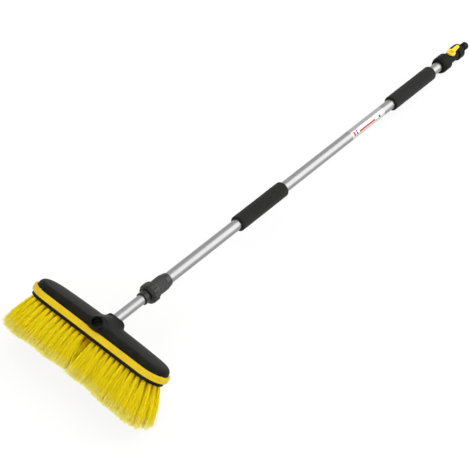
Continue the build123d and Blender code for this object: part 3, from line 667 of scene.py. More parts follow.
BLACK_MOULDING = MouldedPlastic("moulded_black_polypropylene")
LOCK_MOULDING = MouldedPlastic("moulded_black_nylon", colour="#0F0F0E", worn_colour="#1D1E1C", roughness=0.34,
                               specular=0.36, cloud=9.0)
YELLOW_MOULDING = MouldedPlastic("moulded_yellow_acetal", colour="#F0D010", worn_colour="#E6B80A",
                                 roughness=0.34, specular=0.5, grain_depth=0.02, cloud=7.0)
WHITE_MOULDING = MouldedPlastic("moulded_white_acetal", colour="#E6E5E0", worn_colour="#D9D8D0",
                                roughness=0.35, specular=0.5, grain_depth=0.02)
AMBER_PAINT = MouldedPlastic("amber_painted_screw", colour="#E0A800", worn_colour="#CE9400", roughness=0.4,
                             specular=0.5, grain_depth=0.02, cloud=5.0)
SEAL_RUBBER = SoftRubber("black_nitrile_seal", colour="#161616", deep_colour="#101010", roughness=0.6)
STRIP_RUBBER = SoftRubber("yellow_strip_rubber")
GRIP_FOAM = FoamRubber("black_nitrile_foam")
TUBE_METAL = AnodisedAluminium("satin_anodised_aluminium")
FILAMENT = SplitFilament("yellow_split_filament")
LABEL = LabelFilm("bare_label_film")
PLATED = PlatedMetal("chromed_brass", colour="#CFCFCC", roughness=0.18)
ZINC = PlatedMetal("zinc_plated_steel")

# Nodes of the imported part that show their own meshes, by finish
KEPT_NODES: dict[Finish, tuple[str, ...]] = {
    TUBE_METAL: ("inner_tube", "outer_tube"),
    LABEL: ("label_film",),
    BLACK_MOULDING: ("bristle_plate", "tube_adapter", "valve_body"),
    YELLOW_MOULDING: ("valve_lever",),
    SEAL_RUBBER: ("chamber_seal", "socket_washer", "spare_socket_seal", "slider_rings", "stem_ring",
                  "nipple_ring"),
    LOCK_MOULDING: ("thrust_ring",),
    WHITE_MOULDING: ("collet", "slider_bush", "valve_seats"),
    PLATED: ("valve_ball", "valve_stem"),
    ZINC: ("plate_screws",),
    AMBER_PAINT: ("lever_screw",),
}


def dress(piece: bpy.types.Object, finish: Finish, body: str, slot: str, *nodes: str) -> None:
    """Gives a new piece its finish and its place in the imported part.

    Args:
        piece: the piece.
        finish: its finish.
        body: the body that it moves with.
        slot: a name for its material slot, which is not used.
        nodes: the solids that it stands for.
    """
    piece.data.materials.append(finish.material())
    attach(piece, body)
    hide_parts(*nodes)
    log.info("%s: %d faces", piece.name, len(piece.data.polygons))


@dataclass
class CameraRig:
    """The photograph's camera, from the pole's and the head's directions in its view."""

    focal_pixels: float = 1600.0
    frame_pixels: float = 470.0
    sensor: float = 36.0
    farthest_m: float = 50.0
    pole_in_view: tuple[float, float, float] = (0.597, 0.4724, -0.6486)
    head_in_view: tuple[float, float, float] = (0.774, -0.5505, 0.312)
    crossing_in_view: tuple[float, float, float] = (-230.87, -165.81, -2772.13)

    def build(self, pole: Axes) -> None:
        """Sets the scene's camera: its axes are the view's axes as seen from the brush.

        Args:
            pole: the pole's frame, whose origin is the crossing point.
        """
        along = np.array(self.pole_in_view) / np.linalg.norm(self.pole_in_view)
        side = np.array(self.head_in_view)
        side = side - along * (side @ along)
        side /= np.linalg.norm(side)
        view = np.stack([side, along, np.cross(side, along)])
        world = np.stack([-pole.x, pole.z, pole.y])
        turn = world.T @ view
        place = (pole.origin - turn @ np.array(self.crossing_in_view)) * MM
        data = bpy.data.cameras.new("camera")
        data.sensor_width = self.sensor
        data.lens = self.sensor * self.focal_pixels / self.frame_pixels
        data.clip_end = self.farthest_m
        camera = bpy.data.objects.new("camera", data)
        camera.matrix_world = Matrix.Translation(Vector(place)) @ Matrix(turn.tolist()).to_4x4()
        bpy.context.scene.collection.objects.link(camera)
        bpy.context.scene.camera = camera


def seen_or_mirrored(tree: bpy.types.NodeTree) -> bpy.types.NodeSocket:
    """Tells the rays that show a surface from those that only carry its light.

    Args:
        tree: the node tree of the floor's material or of the world.

    Returns:
        A socket that is 1 for the camera's own rays and for those in a gloss or through glass, and else 0.
    """
    path = add_node(tree, "ShaderNodeLightPath", {}, {})
    seen = path.outputs["Is Camera Ray"]
    for kind in ("Is Glossy Ray", "Is Transmission Ray"):
        seen = add_node(tree, "ShaderNodeMath", {"operation": "MAXIMUM"}, {
            0: seen, 1: path.outputs[kind]}).outputs[0]
    return seen


@dataclass(frozen=True)
class SoftLamp:
    """A square soft lamp: its place and the point that it faces, and its side, in metres, and its power."""

    name: str
    place: tuple[float, float, float]
    target: tuple[float, float, float]
    side: float
    power: float

    def build(self) -> None:
        """Adds the lamp, turned so that it shines from its place to its target."""
        data = bpy.data.lights.new(self.name, "AREA")
        data.size, data.energy = self.side, self.power
        lamp = bpy.data.objects.new(self.name, data)
        turn = (Vector(self.target) - Vector(self.place)).to_track_quat("-Z", "Y")
        lamp.matrix_world = Matrix.Translation(self.place) @ turn.to_matrix().to_4x4()
        bpy.context.scene.collection.objects.link(lamp)


@dataclass
class Studio:
    """A pale floor, a bright even world and three soft lamps, one of which lies along the pole's gloss."""

    floor_colour: str = "#F7F7F6"
    floor_reach_m: float = 12.0
    floor_glow: float = 0.84
    ambient: float = 0.62
    lamps: tuple[SoftLamp, ...] = (
        SoftLamp("key_lamp", (-1.2, -0.4, 2.2), (0.0, 0.0, 0.05), 1.4, 14.0),
        SoftLamp("fill_lamp", (0.5, -2.2, 0.9), (0.0, -0.3, 0.05), 1.2, 18.0),
        SoftLamp("back_lamp", (1.15, 1.8, 1.6), (0.0, 0.0, 0.05), 3.0, 70.0),
    )

    def floor(self) -> None:
        """A plane under the brush. Part of it glows to the camera, so that the shadow stays faint."""
        corners = np.array([[-1, -1, 0], [1, -1, 0], [1, 1, 0], [-1, 1, 0]]) * self.floor_reach_m
        plane = mesh_object("floor", corners, [np.arange(4)[None, :]])
        material = bpy.data.materials.new("pale_floor")
        material.use_nodes = True
        tree = material.node_tree
        tree.nodes.clear()
        paint = add_node(tree, "ShaderNodeBsdfDiffuse", {}, {"Color": linear(self.floor_colour)})
        glow = add_node(tree, "ShaderNodeEmission", {}, {"Color": WHITE_LIGHT, "Strength": 1.0})
        share = add_node(tree, "ShaderNodeMath", {"operation": "MULTIPLY"}, {
            0: seen_or_mirrored(tree), 1: self.floor_glow})
        mixed = add_node(tree, "ShaderNodeMixShader", {}, {
            0: share.outputs[0], 1: paint.outputs[0], 2: glow.outputs[0]})
        add_node(tree, "ShaderNodeOutputMaterial", {}, {"Surface": mixed.outputs[0]})
        plane.data.materials.append(material)

    def world(self) -> None:
        """White to the camera and in reflections, and softer as light."""
        world = bpy.data.worlds.new("studio")
        bpy.context.scene.world = world
        world.use_nodes = True
        tree = world.node_tree
        tree.nodes.clear()
        strength = add_node(tree, "ShaderNodeMapRange", {}, {
            "Value": seen_or_mirrored(tree), "To Min": self.ambient, "To Max": 1.0})
        light = add_node(tree, "ShaderNodeBackground", {}, {
            "Color": WHITE_LIGHT, "Strength": strength.outputs[0]})
        add_node(tree, "ShaderNodeOutputWorld", {}, {"Surface": light.outputs[0]})

    def build(self) -> None:
        """Builds the floor, the world and the lamps, and sets plain colour handling."""
        self.floor()
        self.world()
        for lamp in self.lamps:
            lamp.build()
        bpy.context.scene.view_settings.view_transform = "Standard"


@dataclass
class Head:
    """The moulded cover with its two sockets, and the rubber strip, in the head's frame.

    The hood is the outside of the pole's socket, and the spare socket is the round one in front. The seat
    and the spare floor are the stations at which their bores end. The last seven fields are for the net
    that spans the cover: its steps, its margins, and how its points are moved.
    """

    axes: Axes
    pole: Axes
    length: float = HEAD_LENGTH
    depth: float = HEAD_DEPTH
    strip_height: float = 13.0
    strip_width: float = 6.5
    strip_round: float = 5.4
    strip_round_points: int = 9
    strip_foot_rise: float = 0.9
    strip_step: float = 0.8
    strip_columns: int = 420
    cover_inset: float = 5.0
    cover_height: float = 16.0
    cover_end_drop: float = 4.5
    cover_crown: float = 4.0
    cover_edge_round: float = 9.0
    socket_setback: float = SOCKET_SETBACK
    hood_half_width: float = 19.0
    hood_half_height: float = 14.5
    hood_corner: float = 9.0
    spare_radius: float = 13.0
    socket_reach: float = 34.0
    spare_reach: float = 37.0
    socket_edge_round: float = 2.5
    bore_radius: float = 9.6
    seat: float = 24.5
    spare_floor: float = 25.8
    mouth_round: float = 0.8
    saddle_height: float = 24.0
    saddle_top_half: float = 15.0
    saddle_foot_half: float = 27.0
    saddle_half_depth: float = 25.0
    saddle_round: float = 5.0
    saddle_blend: float = 9.0
    socket_blend: float = 6.0
    grid_step: float = 1.25
    steps_below: float = 2.4
    steps_above: float = 10.0
    projections: int = 3
    probe: float = 0.01
    least_slope: float = 0.5
    most_steps_moved: float = 0.4

    def both(self, a: Array, b: Array, radius: float) -> Array:
        """Rounded intersection of two fields.

        It is the length of the two values' positive parts past -radius, less the radius, so that the edge
        between two walls is round. Deep inside it is the larger value.

        Args:
            a: one field.
            b: the other one.
            radius: the edge's radius.

        Returns:
            The field of what lies inside both.
        """
        u, v = np.maximum(a + radius, 0), np.maximum(b + radius, 0)
        return np.minimum(-radius, np.maximum(a, b)) + np.hypot(u, v)

    def either(self, a: Array, b: Array, blend: float) -> Array:
        """Smooth union: the smaller value less h^2 / 4 blend, h being blend less the values' difference."""
        h = np.maximum(blend - np.abs(a - b), 0)
        return np.minimum(a, b) - h * h / (4 * blend)

    def from_stadium(self, x: Array, y: Array, inset: float) -> Array:
        """Distance from the head's round-ended outline, drawn in by an inset. Inside is negative."""
        past = np.maximum(np.abs(x) - (self.length - self.depth) / 2, 0)
        return np.hypot(past, y) - self.depth / 2 + inset

    def socket_places(self, y: Array, z: Array) -> tuple[Array, Array]:
        """Turns a place into a socket's own directions. Both sockets lean alike, mirrored in y.

        Args:
            y: the head's y.
            z: the head's z.

        Returns:
            The way across the socket's axis in the plane of its lean, and the station along the axis.
        """
        to_pole = np.array([self.pole.z @ self.axes.y, self.pole.z @ self.axes.z])
        along = (np.abs(y) - self.socket_setback) * to_pole[0] + z * to_pole[1]
        across = (np.abs(y) - self.socket_setback) * to_pole[1] - z * to_pole[0]
        return across, along

    def cover_field(self, x: Array, y: Array, z: Array) -> Array:
        """Signed distance, near enough, from the cover.

        The cover is a slab whose top falls with the square of the way to its ends and sides, a saddle with
        leaning flanks, and two sockets, a rounded box at the back and a round one in front, less two bores.

        Args:
            x: the head's x.
            y: the head's y.
            z: the head's z.

        Returns:
            The distance, negative inside.
        """
        strip_top = self.strip_height / 2
        fall = self.cover_end_drop * (2 * x / self.length) ** 2 + self.cover_crown * (2 * y / self.depth) ** 2
        top = z - (strip_top + self.cover_height - fall)
        cover = self.both(self.from_stadium(x, y, self.cover_inset), top, self.cover_edge_round)
        slope = (self.saddle_foot_half - self.saddle_top_half) / (self.saddle_height - self.saddle_round)
        half = self.saddle_foot_half - (z - strip_top) * slope
        flank = (np.abs(x) - half) / math.hypot(1, slope)
        crest = z - (strip_top + self.saddle_height - self.saddle_round * (x / self.saddle_top_half) ** 2)
        saddle = self.both(flank, crest, self.saddle_round)
        saddle = self.both(saddle, np.abs(y) - self.saddle_half_depth, self.saddle_round)
        across, along = self.socket_places(y, z)
        away = np.hypot(np.where(y > 0, x - self.pole.origin[0], x), across)
        height = np.abs(across) - self.hood_half_height
        box = self.both(np.abs(x) - self.hood_half_width, height, self.hood_corner)
        side = np.where(y > 0, box, away - self.spare_radius)
        reach = np.where(y > 0, self.socket_reach, self.spare_reach)
        socket = self.both(side, along - reach, self.socket_edge_round)
        socket = np.maximum(socket, -along)
        made = self.either(cover, self.either(saddle, socket, self.socket_blend), self.saddle_blend)
        floor = np.where(y > 0, self.seat, self.spare_floor)
        bore = np.maximum(away - self.bore_radius, floor - along)
        made = self.both(made, -bore, self.mouth_round)
        return np.maximum(made, strip_top - z)

    def net(self, field: Array) -> tuple[Array, list[Array]]:
        """Spans a surface over the places where a sampled field is zero.

        Every cell of the grid that the surface passes through holds one point, the mean of the places where
        the field is zero on the cell's edges. Each grid edge that the surface crosses gives a quad between
        the four cells round it.

        Args:
            field: values at the grid's nodes, negative inside.

        Returns:
            The points, in steps of the grid, and the quads.
        """
        cells = tuple(n - 1 for n in field.shape)
        total, count = np.zeros((*cells, 3)), np.zeros(cells)
        corners = [np.array([i, j, k]) for i in (0, 1) for j in (0, 1) for k in (0, 1)]

        def at(corner: Array) -> Array:
            """The field at one corner of every cell."""
            return field[tuple(slice(c, c + n) for c, n in zip(corner, cells))]

        for first in corners:
            for second in corners:
                if (second - first).sum() == 1 and (second - first).min() == 0:
                    a, b = at(first), at(second)
                    crossed = (a < 0) != (b < 0)
                    share = np.where(crossed, a / np.where(crossed, a - b, 1), 0)
                    total += crossed[..., None] * (first + share[..., None] * (second - first))
                    count += crossed
        held = count > 0
        number = np.full(cells, -1)
        number[held] = np.arange(held.sum())
        quads = []
        for axis, (second, third) in enumerate(((1, 2), (2, 0), (0, 1))):
            inner = np.moveaxis(field, (axis, second, third), (0, 1, 2))
            index = np.moveaxis(number, (axis, second, third), (0, 1, 2))
            near, far = inner[:-1, 1:-1, 1:-1] < 0, inner[1:, 1:-1, 1:-1] < 0
            ring = np.stack([index[:, :-1, :-1], index[:, 1:, :-1], index[:, 1:, 1:], index[:, :-1, 1:]],
                            axis=-1)
            quads += [ring[near & ~far], ring[far & ~near][:, ::-1]]
        return np.argwhere(held) + total[held] / count[held][:, None], quads

    def cover(self) -> None:
        """Spans a net over the cover's field, and moves its points to the true surface.

        Each move goes against the field's slope, by the field's value over the slope's length, and by no
        more than part of a step of the grid.
        """
        step = self.grid_step
        half = np.array([self.length / 2, self.depth / 2 + self.spare_reach / 2])
        low = np.array([-half[0], -half[1], self.strip_height / 2 - self.steps_below * step])
        top = self.strip_height / 2 + self.saddle_height + self.steps_above * step
        high = np.array([half[0], half[1], top])
        lines = [np.arange(a, b, step) for a, b in zip(low, high)]
        points, quads = self.net(self.cover_field(*np.meshgrid(*lines, indexing="ij")))
        points = points * step + low
        for _ in range(self.projections):
            value = self.cover_field(*points.T)
            slopes = [(self.cover_field(*(points + shift).T) - value) / self.probe
                      for shift in np.eye(3) * self.probe]
            slope = np.stack(slopes, axis=-1)
            move = slope * (value / np.maximum((slope**2).sum(-1), self.least_slope**2))[:, None]
            most = self.most_steps_moved * step
            points = points - np.clip(move, -most, most)
        piece = mesh_object("moulded_cover", self.axes.place(points), quads)
        dress(piece, BLACK_MOULDING, "brush_head", "black_moulding", "head_cover")

    def strip(self) -> None:
        """Carries a rounded section round the head's outline, which is two straights and two half circles."""
        half, radius = (self.length - self.depth) / 2, self.depth / 2
        turn = np.pi * radius
        run = np.linspace(0, 4 * half + 2 * np.pi * radius, self.strip_columns, endpoint=False)
        angle = np.where(run < 2 * half, 0, np.clip((run - 2 * half) / radius, 0, np.pi))
        angle = angle + np.clip((run - 4 * half - turn) / radius, 0, np.pi)
        out = np.stack([np.sin(angle), -np.cos(angle)], axis=-1)
        centre = np.clip(run, 0, 2 * half) - np.clip(run - 2 * half - turn, 0, 2 * half) - half
        tall, wide = self.strip_height / 2, self.strip_width
        foot = self.strip_foot_rise - tall
        corners = np.array([[0, foot], [0, tall], [-wide, tall], [-wide, foot]])
        section = spaced(rounded(corners, self.strip_round, self.strip_round_points), self.strip_step)
        reach = radius + section[:, :1]
        grid = np.stack([centre + reach * out[:, 0], reach * out[:, 1], section[:, 1:] + 0 * centre], axis=-1)
        piece = surface("rubber_strip", grid, self.axes)
        dress(piece, STRIP_RUBBER, "brush_head", "yellow_rubber", "bumper_strip")

    def build(self) -> None:
        """Builds the cover and the strip."""
        self.cover()
        self.strip()


@dataclass
class Bristles:
    """Tufts of fine filaments in two rings and a row, which flare outwards to a wavy edge.

    The fields that start with gap are for the gap round the one thin tuft. A filament's root gets amber
    painted shade where its place across or behind its tuft's middle is past a share of the tuft's radius:
    shade_beside and shade_behind say where that starts and is full. Half widths, lengths and places are in
    millimetres, and taper_from and crimp_full are shares of the length.
    """

    axes: Axes
    head_length: float = HEAD_LENGTH
    head_depth: float = HEAD_DEPTH
    plate_floor: float = -10.0
    straight_half: float = 108.5
    outer_radius: float = 27.4
    row_pitch: float = 13.5
    tuft_pitch: float = 11.3
    tuft_radius: float = 3.3
    spread_power: float = 2.3
    cell_share: float = 0.8
    length: float = 72.6
    uneven: float = 0.4
    worn: float = 1.0
    worn_power: int = 4
    trim_slant: float = 0.18
    left_growth: float = 8.0
    right_growth: float = 20.0
    front_wave: float = 2.0
    front_wave_length: float = 61.0
    left_flare: float = 16.5
    right_flare: float = 22.0
    end_flare_power: float = 1.8
    side_flare_share: float = 0.34
    bend_power: float = 1.4
    gap_place: float = -1.9
    gap_width: float = 16.0
    gap_open: float = 3.0
    gap_half: float = 8.0
    gap_rise: float = 0.6
    gap_close: float = 0.3
    thin_filaments: int = 44
    thin_setback: float = 5.0
    outer_filaments: int = 150
    inner_filaments: int = 80
    rows: int = 12
    sides: int = 3
    root_half: float = 0.4
    tip_half: float = 0.34
    taper_from: float = 0.4
    crimp: float = 0.55
    crimp_length: float = 15.0
    crimp_full: float = 0.2
    wander: float = 2.8
    shade_beside: tuple[float, float] = (0.55, 0.95)
    shade_behind: tuple[float, float] = (0.0, 0.5)
    filaments_in_piece: int = 2600
    floor_gap: float = 0.3

    def ring(self, radius: float) -> Array:
        """Tuft places and outward directions round a stadium line, evenly spaced.

        Args:
            radius: radius of the line's half circles.

        Returns:
            Rows of x, y and the outward direction's x and y.
        """
        straight, turn = 2 * self.straight_half, np.pi * radius
        count = round(2 * (straight + turn) / self.tuft_pitch)
        run = (np.arange(count) + 0.5) * 2 * (straight + turn) / count
        angle = np.clip((run - straight) / radius, 0, np.pi)
        angle = angle + np.clip((run - 2 * straight - turn) / radius, 0, np.pi)
        out_x, out_y = np.sin(angle), -np.cos(angle)
        middle = np.clip(run, 0, straight) - np.clip(run - straight - turn, 0, straight) - self.straight_half
        return np.stack([middle + radius * out_x, radius * out_y, out_x, out_y], axis=-1)

    def row(self) -> Array:
        """Tuft places along the head's middle line, evenly spaced.

        Returns:
            Rows of x, y and an outward direction along y.
        """
        count = round(2 * self.straight_half / self.tuft_pitch)
        x = ((np.arange(count) + 0.5) / count * 2 - 1) * self.straight_half
        return np.stack([x, 0 * x, 0 * x, 0 * x + 1], axis=-1)

    def gap_shift(self, x0: Array, y0: Array, s: Array) -> Array:
        """Sideways shift of the front filaments beside the thin tuft.

        With d for the way from a tuft to the gap's place, the shift is gap_close d s, less gap_open times
        d / gap_half, held between -1 and 1, times sin(pi s^gap_rise). So the filaments lean away from the
        gap above their roots and towards it at their tips. It fades as exp(-(d / gap_width)^2), and is zero
        behind the head's middle line.

        Args:
            x0: the tufts' x.
            y0: the tufts' y.
            s: share of the length.

        Returns:
            The shift in x.
        """
        beside = self.gap_place - x0
        near = np.where(y0 < 0, np.exp(-(beside / self.gap_width) ** 2), 0)
        opening = self.gap_open * np.clip(beside / self.gap_half, -1, 1) * np.sin(np.pi * s**self.gap_rise)
        return near * (self.gap_close * beside * s - opening)

    def trim(self, x0: Array, front: Array) -> Array:
        """Extra length: more with the square of the way to each end, and a sine wave along the head.

        Args:
            x0: the tufts' x.
            front: how far in front each tuft stands, as a share of half the head's depth.

        Returns:
            The extra length.
        """
        growth = np.where(x0 > 0, self.right_growth, self.left_growth) * (2 * x0 / self.head_length) ** 2
        return front * (growth + self.front_wave * np.sin(2 * np.pi * x0 / self.front_wave_length))

    def strands(self, tufts: Array, filaments: int, draw: np.random.Generator) -> tuple[Array, Array, Array]:
        """Centre lines of all the filaments of some tufts.

        A filament starts inside its tuft's round root and ends at the same share of the tuft's cell of the
        brush, so that the tufts meet at their tips. At share s of the length, the bend's and the spread's
        shares of the way out are 1 - (1-s)^power, each with its own power. A filament waves across its run,
        wanders a little and is worn shorter by its own amount. In the front tufts, those that lean back are
        longer.

        Args:
            tufts: rows of place and outward direction.
            filaments: how many a tuft has.
            draw: the random number generator.

        Returns:
            Points with shape (filaments, rows, 3), the half widths with shape (filaments, rows), and the
            painted root shade of each filament, from 0 to 1, by how far it stands beside or behind its tuft's
            front.
        """
        x0, y0, out_x, out_y = np.repeat(tufts, filaments, axis=0).T[..., None]
        count = len(x0)
        spin, away = draw.uniform(0, 2 * np.pi, (count, 1)), np.sqrt(draw.uniform(0, 1, (count, 1)))
        a, b = away * np.cos(spin), away * np.sin(spin)
        s = np.linspace(0, 1, self.rows)[None, :]
        bend = 1 - (1 - s) ** self.bend_power
        spread = 1 - (1 - s) ** self.spread_power
        stray = draw.normal(0, 1, (count, 2, 1)) * self.wander
        half_cell, half_row = self.cell_share * self.tuft_pitch, self.cell_share * self.row_pitch
        along = a * (self.tuft_radius + (half_cell - self.tuft_radius) * spread) + stray[:, 0] * s**2
        across = b * (self.tuft_radius + (half_row - self.tuft_radius) * spread) + stray[:, 1] * s**2
        phase, heading = draw.uniform(0, 2 * np.pi, (2, count, 1))
        wave = self.crimp * np.sin(2 * np.pi * s * self.length / self.crimp_length + phase)
        wave = wave * smooth_step(s, 0, self.crimp_full)
        along, across = along + wave * np.cos(heading), across + wave * np.sin(heading)
        x = x0 - along * out_y + across * out_x
        y = y0 + along * out_x + across * out_y
        reach = np.abs(2 * x / self.head_length) ** self.end_flare_power
        x = x + np.where(x > 0, self.right_flare, -self.left_flare) * reach * bend
        y = y * (1 + self.side_flare_share * bend)
        x = x + self.gap_shift(x0, y0, s)
        front = np.maximum(-y0, 0) * 2 / self.head_depth
        length = self.length + self.trim(x0, front) + self.trim_slant * (y - y0) * front
        length = length + draw.normal(0, self.uneven, (count, 1))
        length = length - self.worn * draw.uniform(0, 1, (count, 1)) ** self.worn_power
        points = np.stack([x, y, self.plate_floor - length * s], axis=-1)
        half = self.root_half + (self.tip_half - self.root_half) * smooth_step(s, self.taper_from, 1) + 0 * x0
        # Painted shade: roots beside or behind the tuft's middle get the amber colour.
        depth = np.maximum(smooth_step(np.abs(a), *self.shade_beside), smooth_step(-b, *self.shade_behind))
        return points, half, depth[:, 0]

    def piece(self, name: str, tufts: Array, filaments: int, node: TuftRing, seed: int, root_shade: bool) -> None:
        """Builds one piece: each filament is a three-sided tube round its centre line, closed at both ends.

        Each tube's sides start at an angle of their own. No point goes under the floor.

        Args:
            name: the piece's name.
            tufts: rows of place and outward direction.
            filaments: how many a tuft has.
            node: the group that it stands for.
            seed: the random number generator's seed.
            root_shade: whether all of it stands behind the front tufts, so that all its roots get the amber
                painted shade.
        """
        draw = np.random.default_rng(seed)
        points, half, depth = self.strands(tufts, filaments, draw)
        # The inner groups and the thin tuft get the full painted root shade.
        depth = np.ones_like(depth) if root_shade else depth
        run = np.gradient(points, axis=1)
        run /= np.linalg.norm(run, axis=-1, keepdims=True)
        side = np.cross(run, [0.0, 1.0, 0.0])
        side /= np.linalg.norm(side, axis=-1, keepdims=True)
        other = np.cross(run, side)
        count, rows = half.shape
        sides = np.arange(self.sides)
        turn = sides * 2 * np.pi / self.sides + draw.uniform(0, 2 * np.pi, (count, 1))
        cos, sin = np.cos(turn)[:, None, :, None], np.sin(turn)[:, None, :, None]
        rim = points[:, :, None] + half[:, :, None, None] * (side[:, :, None] * cos + other[:, :, None] * sin)
        placed = self.axes.place(rim.reshape(-1, 3))
        placed[:, 2] = np.maximum(placed[:, 2], self.floor_gap * MM)
        first = np.arange(count)[:, None] * rows * self.sides
        below = first[..., None] + np.arange(rows - 1)[None, :, None] * self.sides
        above, beside = below + self.sides, (sides + 1) % self.sides
        quads = np.stack([below + sides, below + beside, above + beside, above + sides], axis=-1)
        caps = np.concatenate([first + sides[::-1], first + (rows - 1) * self.sides + sides])
        made = mesh_object(name, placed, [quads.reshape(-1, 4), caps])
        in_filament = rows * self.sides
        values = {
            "along": np.tile(np.repeat(np.linspace(0, 1, rows), self.sides), count),
            "shade": np.repeat(draw.uniform(0, 1, count), in_filament),
            # depth says how much painted shade each filament's root gets.
            "depth": np.repeat(depth, in_filament),
        }
        for label, shares in values.items():
            attribute = made.data.attributes.new(label, "FLOAT", "POINT")
            attribute.data.foreach_set("value", shares.astype(np.float32))
        dress(made, FILAMENT, "brush_head", "yellow_filament", node.value)

    def build(self) -> None:
        """Builds each group in pieces that stay small enough.

        The front tuft nearest the gap is thin and set back, as in the photograph, and all its roots get the
        amber painted shade.
        """
        outer = self.ring(self.outer_radius)
        thin = np.argmin(np.hypot(outer[:, 0] - self.gap_place, outer[:, 1] + self.outer_radius))
        groups = {
            TuftRing.OUTER: (np.delete(outer, thin, axis=0), self.outer_filaments),
            TuftRing.MIDDLE: (self.ring(self.outer_radius - self.row_pitch), self.inner_filaments),
            TuftRing.CENTRE: (self.row(), self.inner_filaments),
        }
        for group, (node, (tufts, filaments)) in enumerate(groups.items()):
            parts = np.array_split(tufts, math.ceil(len(tufts) * filaments / self.filaments_in_piece))
            for part, some in enumerate(parts):
                name = f"tufts_{node.name.lower()}_{part + 1}"
                self.piece(name, some, filaments, node, SEED + 10 * group + part, node is not TuftRing.OUTER)
        set_back = outer[thin:thin + 1] + [0, self.thin_setback, 0, 0]
        self.piece("tufts_outer_thin", set_back, self.thin_filaments, TuftRing.OUTER, SEED + 30, True)


